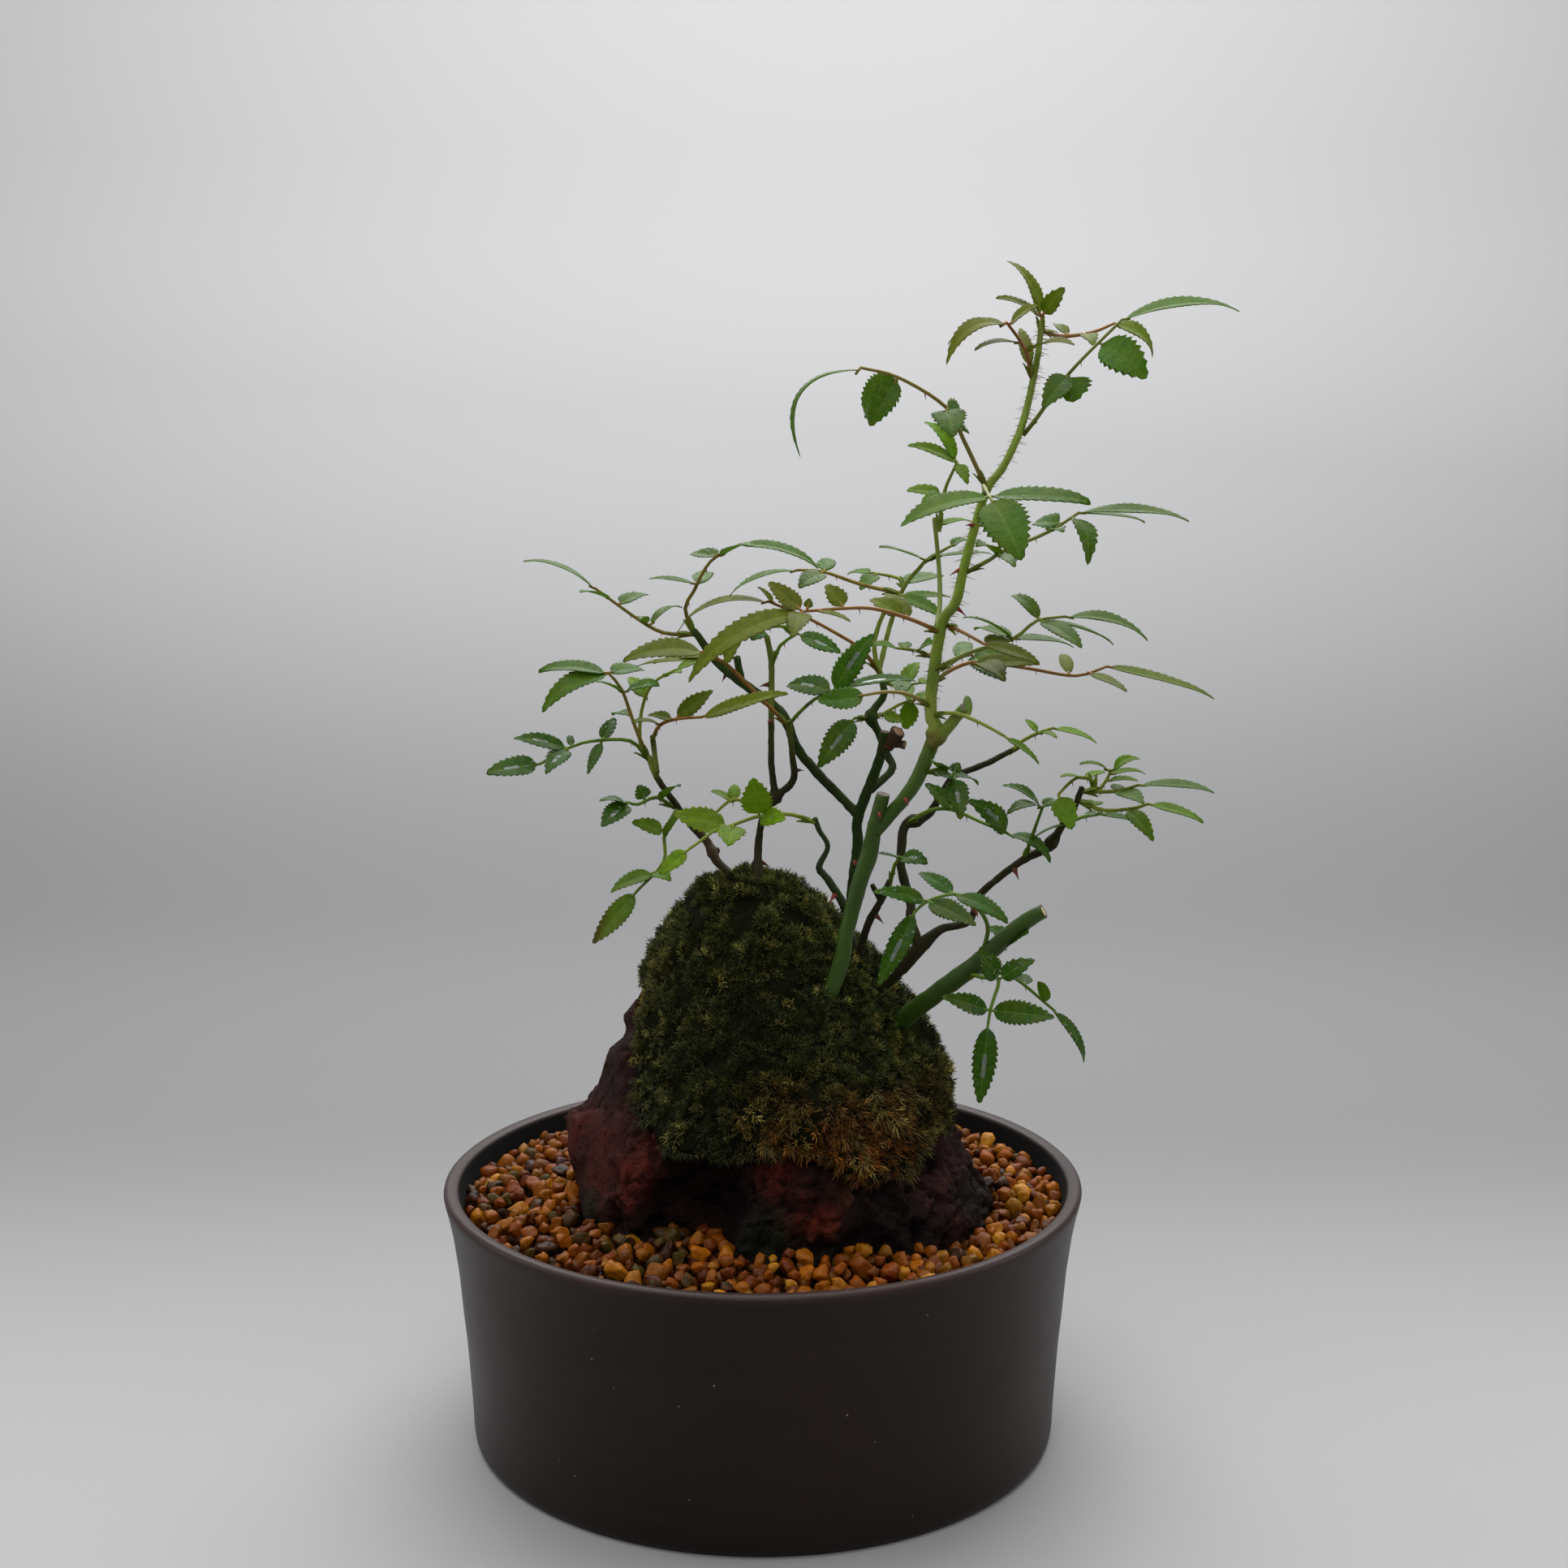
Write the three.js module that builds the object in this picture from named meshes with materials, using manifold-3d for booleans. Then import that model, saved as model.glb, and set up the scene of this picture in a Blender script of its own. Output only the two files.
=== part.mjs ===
// Miniature rose rooted on a moss-covered lava rock, in a round clay pot.
// Millimetres, +Z up. The origin is the centre of the pot's flat underside,
// and the front of the plant faces -Y.
import * as THREE from 'three';
import { mergeVertices } from 'three/addons/utils/BufferGeometryUtils.js';
import Module from 'manifold-3d';

const wasm = await Module();
wasm.setup();

// Pot
const RIM_RADIUS = 75;
const BASE_RADIUS = 69;
const POT_HEIGHT = 61;
const WALL = 3.9;
const FLOOR = 6;
const POT_SIDES = 36;
const DRAIN_RADIUS = 5;
const DRAIN_RING = 17;
const DRAIN_COUNT = 3;

// Drain mesh
const NET_SIDE = 48;
const NET_THICKNESS = 0.8;
const NET_HOLES = 3;
const NET_HOLE_SIDE = 12;

// Gravel: angular clay grains, here as a relief of larger grains than life
const GRAVEL_WALL_LEVEL = 54.6;
const GRAVEL_ROCK_LEVEL = 58.2;
const GRAIN_RISE = 3.4;
const GRAIN_ROWS = 5;
const GRAINS_A_ROW = 36;

// Rock: how far it reaches left, right, front and back at each height
const ROCK_LEVELS = [
  { z: 32, left: -37, right: 45, front: -41, back: 31 },
  { z: 48, left: -43, right: 52, front: -49, back: 37 },
  { z: 58, left: -43, right: 54, front: -50, back: 38 },
  { z: 66, left: -44.5, right: 50.5, front: -48, back: 38 },
  { z: 73, left: -44.5, right: 47, front: -44.5, back: 36 },
  { z: 78, left: -42.5, right: 43, front: -41, back: 34 },
  { z: 83, left: -38, right: 39, front: -37, back: 32 },
  { z: 91, left: -35.5, right: 33, front: -30, back: 29 },
  { z: 98, left: -32, right: 27, front: -23, back: 25 },
  { z: 104, left: -28.5, right: 20, front: -16, back: 20 },
  { z: 109, left: -18, right: 12, front: -9, back: 14 },
  { z: 114, left: -8, right: 4, front: -3, back: 7 },
];
const ROCK_TOP = 116;
const ROCK_FOOT_CENTRE = [3, -6];
const ROCK_CROWN_CENTRE = [-3, 1];
const ROCK_SIDES = 26;
const ROCK_ROUGHNESS = 1.3;

// Moss: a mantle over the rock, thick on top, that leaves the rock's left ridge bare
const MOSS_LEVELS = [
  { z: 70, left: -41, right: 48.5, front: -49.5, back: 39 },
  { z: 78, left: -40.5, right: 47, front: -47, back: 38 },
  { z: 86, left: -37.5, right: 45, front: -43.5, back: 36.5 },
  { z: 92, left: -35.5, right: 42.5, front: -40, back: 35 },
  { z: 98, left: -32.5, right: 38, front: -36, back: 33 },
  { z: 104, left: -30.5, right: 33.5, front: -32, back: 31 },
  { z: 110, left: -28, right: 28.5, front: -28, back: 28 },
  { z: 116, left: -25, right: 22.5, front: -23, back: 24 },
  { z: 122, left: -21.5, right: 17.5, front: -18.5, back: 20 },
  { z: 128, left: -18, right: 12, front: -13, back: 15.5 },
  { z: 132, left: -12.5, right: 6.5, front: -7, back: 9 },
];
const MOSS_TOP = 134.5;
const MOSS_SIDES = 30;
const MOSS_RINGS = 9;
const MOSS_TUFT = 1;
const MOSS_EDGE_TUCK = 2.5;
const MOSS_DEPTH = 14;
const MOSS_FOOT_HEIGHT = 90;
const MOSS_LAST_RING_DROP = 2.5;
const MOSS_TUCKED_SHARE = 0.2;
// Height of the lower edge at every 15 degrees, from the right, by the back, the left and the front
const MOSS_EDGE = [75, 76, 79, 83, 85, 86, 87, 88, 91, 95, 100, 104, 107,
  102, 83, 76, 79, 77, 82, 79, 72, 74, 77, 76];

// Clearance between pieces that touch, and what a rough rock and a slanting hole need on top of it
const GAP = 0.35;
const ROCK_CLEARANCE = 0.25;
const HOLE_CLEARANCE = 0.3;

// Rose
const STEM_SIDES = 5;
const STALK_RADIUS = 0.62;
const ROOT_DEPTH = 6;
const BLADE_THICKNESS = 0.66;
const BLADE_FOLD = 0.24;
const BLADE_ARCH = 0.07;
const THORN_LENGTH = 2.6;
const THORN_SPACING = 30;

// Half a leaflet's edge, as [along the rib, share of the half width], tooth by tooth
const EDGE_LARGE = [[0.3, 1.0], [0.35, 0.84], [0.6, 0.84], [0.66, 0.6]];
const EDGE_SMALL = [[0.32, 1.0], [0.4, 0.78], [0.66, 0.68]];
const SMALL_LEAFLET = 13.5;

function seededRandom(seed) {
  let state = seed;
  return () => {
    state = (state * 1664525 + 1013904223) % 4294967296;
    return state / 4294967296;
  };
}

function solidFrom(geometry) {
  const bare = geometry.clone();
  bare.deleteAttribute('normal');
  bare.deleteAttribute('uv');
  const merged = mergeVertices(bare, 1e-4);
  return new wasm.Manifold(new wasm.Mesh({
    numProp: 3,
    vertProperties: new Float32Array(merged.attributes.position.array),
    triVerts: new Uint32Array(merged.index.array),
  }));
}

function geometryFrom(solid) {
  const mesh = solid.getMesh();
  const geometry = new THREE.BufferGeometry();
  geometry.setAttribute('position', new THREE.BufferAttribute(mesh.vertProperties, 3));
  geometry.setIndex(new THREE.BufferAttribute(mesh.triVerts, 1));
  geometry.computeVertexNormals();
  return geometry;
}

// Closed geometry from a list of points and a list of triangles
function geometryOf(points, faces) {
  const geometry = new THREE.BufferGeometry();
  geometry.setAttribute('position', new THREE.Float32BufferAttribute(points.flat(), 3));
  geometry.setIndex(faces.flat());
  geometry.computeVertexNormals();
  return geometry;
}

// Cutting can leave loose scraps beside the piece itself
function largestPiece(solid) {
  return solid.decompose().reduce((best, piece) => (piece.volume() > best.volume() ? piece : best));
}

function mix(a, b, share) {
  return a + (b - a) * share;
}

// A closed surface of level rings, from the lowest to the highest, with a point at each end
function ringedGeometry(rings, bottom, top) {
  const sides = rings[0].length;
  const points = [bottom, ...rings.flat(), top];
  const last = points.length - 1;
  const faces = [];
  for (let side = 0; side < sides; side += 1) {
    const next = (side + 1) % sides;
    faces.push([0, 1 + next, 1 + side]);
    for (let ring = 0; ring < rings.length - 1; ring += 1) {
      const low = 1 + ring * sides;
      const high = low + sides;
      faces.push([low + side, low + next, high + next]);
      faces.push([low + side, high + next, high + side]);
    }
    const topRing = 1 + (rings.length - 1) * sides;
    faces.push([topRing + side, topRing + next, last]);
  }
  return geometryOf(points, faces);
}

// A closed tube through points with a radius at each
function tubeGeometry(path, radii, sides) {
  const centres = path.map((point) => new THREE.Vector3(...point));
  let across = null;
  const rings = centres.map((centre, at) => {
    const along = directionAt(centres, at);
    if (!across) {
      across = Math.abs(along.x) > 0.9 ? new THREE.Vector3(0, 1, 0) : new THREE.Vector3(1, 0, 0);
    }
    across = squaredTo(along, across);
    return tubeRing(centre, along, across, radii[at], sides);
  });
  return ringedGeometry(rings, centres[0].toArray(), centres[centres.length - 1].toArray());
}

function directionAt(centres, at) {
  const before = centres[Math.max(at - 1, 0)];
  const after = centres[Math.min(at + 1, centres.length - 1)];
  return after.clone().sub(before).normalize();
}

// The part of a direction that is square to another
function squaredTo(along, direction) {
  return direction.clone().addScaledVector(along, -direction.dot(along)).normalize();
}

function tubeRing(centre, along, across, radius, sides) {
  const third = along.clone().cross(across);
  const ring = [];
  for (let side = 0; side < sides; side += 1) {
    const angle = ((side + 0.25) / sides) * 2 * Math.PI;
    const point = centre.clone()
      .addScaledVector(across, Math.cos(angle) * radius)
      .addScaledVector(third, Math.sin(angle) * radius);
    ring.push(point.toArray());
  }
  return ring;
}

// Pot

function potProfile(inset) {
  const rim = RIM_RADIUS - inset;
  return [
    [BASE_RADIUS - inset, 2.6],
    [BASE_RADIUS + 0.7 - inset, 16],
    [BASE_RADIUS + 1.9 - inset, 31],
    [rim - 2, 51],
    [rim - 0.2, 59],
  ];
}

function turned(profile) {
  const points = profile.map(([radius, height]) => new THREE.Vector2(radius, height));
  const geometry = new THREE.LatheGeometry(points, POT_SIDES);
  geometry.rotateX(Math.PI / 2);
  return solidFrom(geometry);
}

function potSolid() {
  const outside = [[0, 0], [BASE_RADIUS - 1.6, 0], ...potProfile(0)];
  const lip = [
    [RIM_RADIUS - 0.7, POT_HEIGHT - 0.5],
    [RIM_RADIUS - 1.9, POT_HEIGHT],
    [RIM_RADIUS - 3.3, POT_HEIGHT - 0.6],
  ];
  const inside = potProfile(WALL).slice(2).reverse();
  const floor = [[BASE_RADIUS - WALL - 0.5, FLOOR + 2.5], [BASE_RADIUS - WALL - 3, FLOOR], [0, FLOOR]];
  let pot = turned([...outside, ...lip, ...inside, ...floor]);
  for (let hole = 0; hole < DRAIN_COUNT; hole += 1) {
    const angle = (hole / DRAIN_COUNT) * 2 * Math.PI;
    const drill = new THREE.CylinderGeometry(DRAIN_RADIUS, DRAIN_RADIUS, FLOOR * 3, 12);
    drill.rotateX(Math.PI / 2);
    drill.translate(Math.cos(angle) * DRAIN_RING, Math.sin(angle) * DRAIN_RING, FLOOR / 2);
    pot = pot.subtract(solidFrom(drill));
  }
  return pot;
}

// Drain mesh: a square net over the three holes

function boxSolid(width, depth, height, x, y, z) {
  const box = new THREE.BoxGeometry(width, depth, height);
  box.translate(x, y, z);
  return solidFrom(box);
}

function drainNetSolid() {
  const level = FLOOR + GAP + NET_THICKNESS / 2;
  const pitch = NET_SIDE / NET_HOLES;
  let net = boxSolid(NET_SIDE, NET_SIDE, NET_THICKNESS, 0, 0, level);
  for (let column = 0; column < NET_HOLES; column += 1) {
    for (let row = 0; row < NET_HOLES; row += 1) {
      const x = pitch * (column + 0.5) - NET_SIDE / 2;
      const y = pitch * (row + 0.5) - NET_SIDE / 2;
      net = net.subtract(boxSolid(NET_HOLE_SIDE, NET_HOLE_SIDE, NET_THICKNESS * 3, x, y, level));
    }
  }
  return net;
}

// Rock

function extentAt(levels, height) {
  const top = levels.length - 1;
  let index = 0;
  while (index < top - 1 && height > levels[index + 1].z) {
    index += 1;
  }
  const low = levels[index];
  const high = levels[index + 1];
  const share = THREE.MathUtils.clamp((height - low.z) / (high.z - low.z), 0, 1);
  return {
    left: mix(low.left, high.left, share),
    right: mix(low.right, high.right, share),
    front: mix(low.front, high.front, share),
    back: mix(low.back, high.back, share),
  };
}

// A point of the rock's or the moss's surface, moved out by a distance
function surfacePoint(levels, angle, height, out) {
  const extent = extentAt(levels, height);
  const centreX = (extent.left + extent.right) / 2;
  const centreY = (extent.front + extent.back) / 2;
  const reachX = (extent.right - extent.left) / 2 + out;
  const reachY = (extent.back - extent.front) / 2 + out;
  const lobes = 1 + 0.035 * Math.sin(3 * angle + height * 0.06) + 0.025 * Math.sin(7 * angle - height * 0.11);
  return [centreX + reachX * lobes * Math.cos(angle), centreY + reachY * lobes * Math.sin(angle)];
}

// The deep hollow low in the rock's front left, and the flat facet on its left shoulder
function rockDent(angle, height) {
  const hollow = Math.hypot((angle - 4.22) / 0.27, (height - 62) / 9);
  const facet = Math.hypot((angle - 3.5) / 0.3, (height - 70) / 10);
  const cleft = Math.hypot((angle - 4.95) / 0.12, (height - 66) / 10);
  return 7 * Math.max(0, 1 - hollow) + 3 * Math.max(0, 1 - facet) + 3.5 * Math.max(0, 1 - cleft);
}

function rockGeometry() {
  const random = seededRandom(41);
  const rings = ROCK_LEVELS.map((level) => {
    const ring = [];
    for (let side = 0; side < ROCK_SIDES; side += 1) {
      const angle = (side / ROCK_SIDES) * 2 * Math.PI;
      const rough = (random() - 0.5) * 2 * ROCK_ROUGHNESS;
      const [x, y] = surfacePoint(ROCK_LEVELS, angle, level.z, rough - rockDent(angle, level.z));
      ring.push([x, y, level.z + (random() - 0.5) * 2]);
    }
    return ring;
  });
  const foot = [...ROCK_FOOT_CENTRE, ROCK_LEVELS[0].z - 1.5];
  return ringedGeometry(rings, foot, [...ROCK_CROWN_CENTRE, ROCK_TOP]);
}

// The same shape with its surface moved out
function grownGeometry(geometry, distance) {
  const grown = geometry.clone();
  const position = grown.attributes.position;
  const normal = grown.attributes.normal;
  for (let at = 0; at < position.count; at += 1) {
    const point = new THREE.Vector3().fromBufferAttribute(position, at);
    point.addScaledVector(new THREE.Vector3().fromBufferAttribute(normal, at), distance);
    position.setXYZ(at, ...point.toArray());
  }
  return grown;
}

// Moss

function mossEdge(angle) {
  const turn = (angle / (2 * Math.PI)) * MOSS_EDGE.length;
  const index = Math.floor(turn) % MOSS_EDGE.length;
  return mix(MOSS_EDGE[index], MOSS_EDGE[(index + 1) % MOSS_EDGE.length], turn - Math.floor(turn));
}

// A point of the moss's outside, from its lower edge at share 0 to near its top at share 1
function mossPoint(angle, share, tuft) {
  const height = mix(mossEdge(angle), MOSS_TOP - MOSS_LAST_RING_DROP, share);
  const tuck = MOSS_EDGE_TUCK * Math.max(0, 1 - share / MOSS_TUCKED_SHARE);
  const [x, y] = surfacePoint(MOSS_LEVELS, angle, height, tuft - tuck);
  return [x, y, height + tuft * share];
}

function mossBlob() {
  const random = seededRandom(7);
  const rings = [];
  const inner = [];
  for (let side = 0; side < MOSS_SIDES; side += 1) {
    const angle = (side / MOSS_SIDES) * 2 * Math.PI;
    const edge = mossEdge(angle);
    const [x, y] = surfacePoint(MOSS_LEVELS, angle, edge, -MOSS_DEPTH);
    inner.push([x, y, edge + 1]);
  }
  rings.push(inner);
  for (let ring = 0; ring < MOSS_RINGS; ring += 1) {
    const row = [];
    for (let side = 0; side < MOSS_SIDES; side += 1) {
      const angle = ((side + (ring % 2) * 0.5) / MOSS_SIDES) * 2 * Math.PI;
      const raised = (side + ring) % 2 === 0 ? 1 : -0.35;
      const tuft = MOSS_TUFT * raised * mix(0.6, 1.1, random());
      row.push(mossPoint(angle, ring / (MOSS_RINGS - 1), tuft));
    }
    rings.push(row);
  }
  const foot = [...ROCK_FOOT_CENTRE, MOSS_FOOT_HEIGHT];
  return ringedGeometry(rings, foot, [...ROCK_CROWN_CENTRE, MOSS_TOP]);
}

// Gravel

// Rows of six-cornered grains from beyond the wall to under the rock, each rising to its own top
function grainRelief() {
  const random = seededRandom(23);
  const corners = GRAINS_A_ROW * 2;
  const outer = RIM_RADIUS + 1;
  const rowWidth = (outer - 33) / GRAIN_ROWS;
  const levelAt = (radius) => {
    const share = THREE.MathUtils.clamp((RIM_RADIUS - WALL - radius) / 24, 0, 1);
    return mix(GRAVEL_WALL_LEVEL, GRAVEL_ROCK_LEVEL, share);
  };
  const points = [];
  const faces = [];
  const addPoint = (radius, turn, height) => {
    const angle = (turn / corners) * 2 * Math.PI;
    points.push([Math.cos(angle) * radius, Math.sin(angle) * radius, height]);
    return points.length - 1;
  };
  const bottomCentre = addPoint(0, 0, FLOOR);
  const bottomRim = Array.from({ length: corners }, (unused, turn) => addPoint(outer, turn, FLOOR));
  let outerEdge = null;
  for (let row = 0; row <= GRAIN_ROWS; row += 1) {
    const radius = outer - row * rowWidth;
    const jitter = row === 0 ? 0 : 1;
    const edge = Array.from({ length: corners }, (unused, turn) => addPoint(
      radius + (random() - 0.5) * jitter * 2.2,
      turn + (random() - 0.5) * jitter * 0.6,
      levelAt(radius) - random() * 0.8,
    ));
    for (let turn = 0; turn < corners; turn += 1) {
      const next = (turn + 1) % corners;
      if (row === 0) {
        faces.push([bottomCentre, bottomRim[next], bottomRim[turn]]);
        faces.push([bottomRim[turn], bottomRim[next], edge[next]], [bottomRim[turn], edge[next], edge[turn]]);
      } else if (turn % 2 === row % 2) {
        const middle = (turn + 1) % corners;
        const far = (turn + 2) % corners;
        const top = addPoint(
          radius + rowWidth * mix(0.35, 0.65, random()),
          turn + mix(0.75, 1.25, random()),
          levelAt(radius + rowWidth / 2) + GRAIN_RISE * mix(0.55, 1, random()),
        );
        const rim = [outerEdge[turn], outerEdge[middle], outerEdge[far], edge[far], edge[middle], edge[turn]];
        rim.forEach((corner, at) => faces.push([top, corner, rim[(at + 1) % rim.length]]));
      }
    }
    outerEdge = edge;
  }
  const topCentre = addPoint(0, 0, GRAVEL_ROCK_LEVEL);
  outerEdge.forEach((corner, turn) => faces.push([topCentre, corner, outerEdge[(turn + 1) % corners]]));
  return solidFrom(geometryOf(points, faces));
}

function gravelSolid(rockCutter) {
  const bed = turned([
    [0, FLOOR + GAP],
    [BASE_RADIUS - WALL - 3.3 - GAP, FLOOR + GAP],
    [BASE_RADIUS - WALL - 0.7 - GAP, FLOOR + 2.5 + GAP],
    ...potProfile(WALL + GAP).slice(2),
    [0, POT_HEIGHT + 4],
  ]);
  const pocketSide = NET_SIDE + 2 * GAP;
  const pocket = boxSolid(pocketSide, pocketSide, 2 * (NET_THICKNESS + GAP), 0, 0, FLOOR + GAP);
  return largestPiece(bed.intersect(grainRelief()).subtract(pocket).subtract(rockCutter));
}

// Rose

// The point a share of the way along a route
function pointAlong(route, share) {
  const corners = route.map((point) => new THREE.Vector3(...point));
  const steps = corners.slice(1).map((corner, at) => corner.distanceTo(corners[at]));
  let left = share * steps.reduce((sum, step) => sum + step, 0);
  let at = 0;
  while (at < steps.length - 1 && left > steps[at]) {
    left -= steps[at];
    at += 1;
  }
  return corners[at].lerp(corners[at + 1], Math.min(left / steps[at], 1)).toArray();
}

// Where a leaflet's points lie. The tilt turns its upper face from straight up (0)
// to the front (90), and the arch bows its rib outwards.
function leafletFrame(base, [, x, y, z, width, tilt, arch]) {
  const start = new THREE.Vector3(...base);
  const along = new THREE.Vector3(x, y, z).sub(start);
  const length = along.length();
  along.normalize();
  const turn = THREE.MathUtils.degToRad(tilt);
  const up = squaredTo(along, new THREE.Vector3(0, -Math.sin(turn), Math.cos(turn)));
  const side = up.clone().cross(along);
  const bow = arch ?? length * BLADE_ARCH;
  const place = (share, out, raise) => start.clone()
    .addScaledVector(along, length * share)
    .addScaledVector(side, (out * width) / 2)
    .addScaledVector(up, bow * 4 * share * (1 - share) + (Math.abs(out) * width * BLADE_FOLD) / 2 + raise)
    .toArray();
  return { place, side, edge: length < SMALL_LEAFLET ? EDGE_SMALL : EDGE_LARGE };
}

// A toothed blade's two faces and its rim, added to points and faces. The root's corners are
// given; the widest corners and the tip are shared by the two faces.
function addBlade(points, faces, { place, edge }, rootTop, rootBottom) {
  const add = (...at) => points.push(place(...at)) - 1;
  const half = BLADE_THICKNESS / 2;
  const sideCorners = (sign) => edge.map(([share, out], at) => {
    if (at === 0) {
      const corner = add(share, out * sign, 0);
      return [corner, corner];
    }
    return [add(share, out * sign, half), add(share, out * sign, -half)];
  });
  const tip = add(1, 0, 0);
  const outline = [...sideCorners(-1), [tip, tip], ...sideCorners(1).reverse()];
  const top = [rootTop[0], ...outline.map((corner) => corner[0]), ...rootTop.slice(1)];
  const bottom = [rootBottom[0], ...outline.map((corner) => corner[1]), ...rootBottom.slice(1)];
  const ribTop = add(0.5, 0, half);
  const ribBottom = add(0.5, 0, -half);
  top.forEach((corner, at) => faces.push([ribTop, corner, top[(at + 1) % top.length]]));
  bottom.forEach((corner, at) => faces.push([ribBottom, bottom[(at + 1) % bottom.length], corner]));
  const rootEnd = [rootTop[1] ?? rootTop[0], rootBottom[1] ?? rootBottom[0]];
  const rim = [[rootTop[0], rootBottom[0]], ...outline, rootEnd];
  for (let at = 0; at < rim.length - 1; at += 1) {
    const [highHere, lowHere] = rim[at];
    const [highNext, lowNext] = rim[at + 1];
    if (highNext !== lowNext) {
      faces.push([lowHere, lowNext, highNext]);
    }
    if (highHere !== lowHere) {
      faces.push([lowHere, highNext, highHere]);
    }
  }
}

// A side leaflet, whose root is an upright edge in the middle of the stalk
function leafletSolid(base, leaflet) {
  const frame = leafletFrame(base, leaflet);
  const half = BLADE_THICKNESS / 2;
  const points = [frame.place(0, 0, half), frame.place(0, 0, -half)];
  const faces = [];
  addBlade(points, faces, frame, [0], [1]);
  return solidFrom(geometryOf(points, faces));
}

// A three-sided stalk, flat on top, that runs on into its end leaflet
function stalkSolid(stalk, endLeaflet) {
  const centres = stalk.map((point) => new THREE.Vector3(...point));
  const last = centres.length - 1;
  const frame = leafletFrame(stalk[last], endLeaflet);
  const rings = [];
  let across = frame.side;
  for (let at = last; at >= 0; at -= 1) {
    const along = directionAt(centres, at);
    across = squaredTo(along, across);
    rings.unshift(tubeRing(centres[at], along, across, STALK_RADIUS * (at === 0 ? 1.4 : 1), 3));
  }
  const points = [centres[0].toArray(), ...rings.flat()];
  const faces = [];
  for (let side = 0; side < 3; side += 1) {
    const next = (side + 1) % 3;
    faces.push([0, 1 + next, 1 + side]);
    for (let ring = 0; ring < last; ring += 1) {
      const low = 1 + ring * 3;
      faces.push([low + side, low + next, low + 3 + next], [low + side, low + 3 + next, low + 3 + side]);
    }
  }
  const [left, right, under] = [1 + last * 3, 2 + last * 3, 3 + last * 3];
  addBlade(points, faces, frame, [right, left], [right, left, under]);
  return solidFrom(geometryOf(points, faces));
}

// A compound leaf: its stalk, then leaflets as [share along the stalk, tip x, y, z, width, tilt, arch],
// the end leaflet first
function leafSolids([stalk, [endLeaflet, ...leaflets]]) {
  const sides = leaflets.map((leaflet) => leafletSolid(pointAlong(stalk, leaflet[0]), leaflet));
  return [stalkSolid(stalk, endLeaflet), ...sides];
}

function thornSolids(route, random) {
  const solids = [];
  for (let at = 1; at < route.length; at += 1) {
    const [x, y, z, radius] = route[at];
    const [fromX, fromY, fromZ] = route[at - 1];
    const length = Math.hypot(x - fromX, y - fromY, z - fromZ);
    const chance = random();
    const angle = random() * 2 * Math.PI;
    if (radius > 0.7 && chance < length / THORN_SPACING) {
      const centre = [(x + fromX) / 2, (y + fromY) / 2, (z + fromZ) / 2];
      const along = new THREE.Vector3(x - fromX, y - fromY, z - fromZ).normalize();
      const out = new THREE.Vector3(Math.cos(angle), Math.sin(angle), -0.25);
      out.addScaledVector(along, -out.dot(along)).normalize();
      const reach = radius + THORN_LENGTH;
      const tip = centre.map((value, axis) => value + out.toArray()[axis] * reach);
      solids.push(solidFrom(tubeGeometry([centre, tip], [1.2, 0.15], 3)));
    }
  }
  return solids;
}

// Stems are routes of [x, y, z, radius]; a rooted one goes on below its first point
function rooted(route) {
  const [first, second] = route;
  const back = new THREE.Vector3(first[0] - second[0], first[1] - second[1], first[2] - second[2]);
  back.normalize().multiplyScalar(ROOT_DEPTH);
  const root = [first[0] + back.x, first[1] + back.y, first[2] + back.z, first[3]];
  return [root, ...route];
}

function routeGeometry(route, sides, grow) {
  return tubeGeometry(route.map((point) => point.slice(0, 3)), route.map((point) => point[3] + grow), sides);
}

function leafyStemSolid({ root, shoots, knobs, leaves, seed }) {
  const random = seededRandom(seed);
  const routes = [rooted(root), ...shoots];
  const solids = routes.map((route) => solidFrom(routeGeometry(route, STEM_SIDES, 0)));
  [root, ...shoots].forEach((route) => solids.push(...thornSolids(route.slice(1), random)));
  knobs.forEach(([x, y, z, radius]) => {
    const knob = new THREE.OctahedronGeometry(radius, 0);
    knob.translate(x, y, z);
    solids.push(solidFrom(knob));
  });
  leaves.forEach((leaf) => solids.push(...leafSolids(leaf)));
  return largestPiece(wasm.Manifold.union(solids));
}

// The hole that a stem stands in follows its root and the start of its route
function stemHole({ root }) {
  const route = rooted(root).slice(0, 4);
  const [first, second] = route;
  const deeper = first.map((value, axis) => (axis < 3 ? value + (value - second[axis]) * 0.08 : value));
  return solidFrom(routeGeometry([deeper, ...route.slice(1)], STEM_SIDES, GAP + HOLE_CLEARANCE));
}

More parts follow.
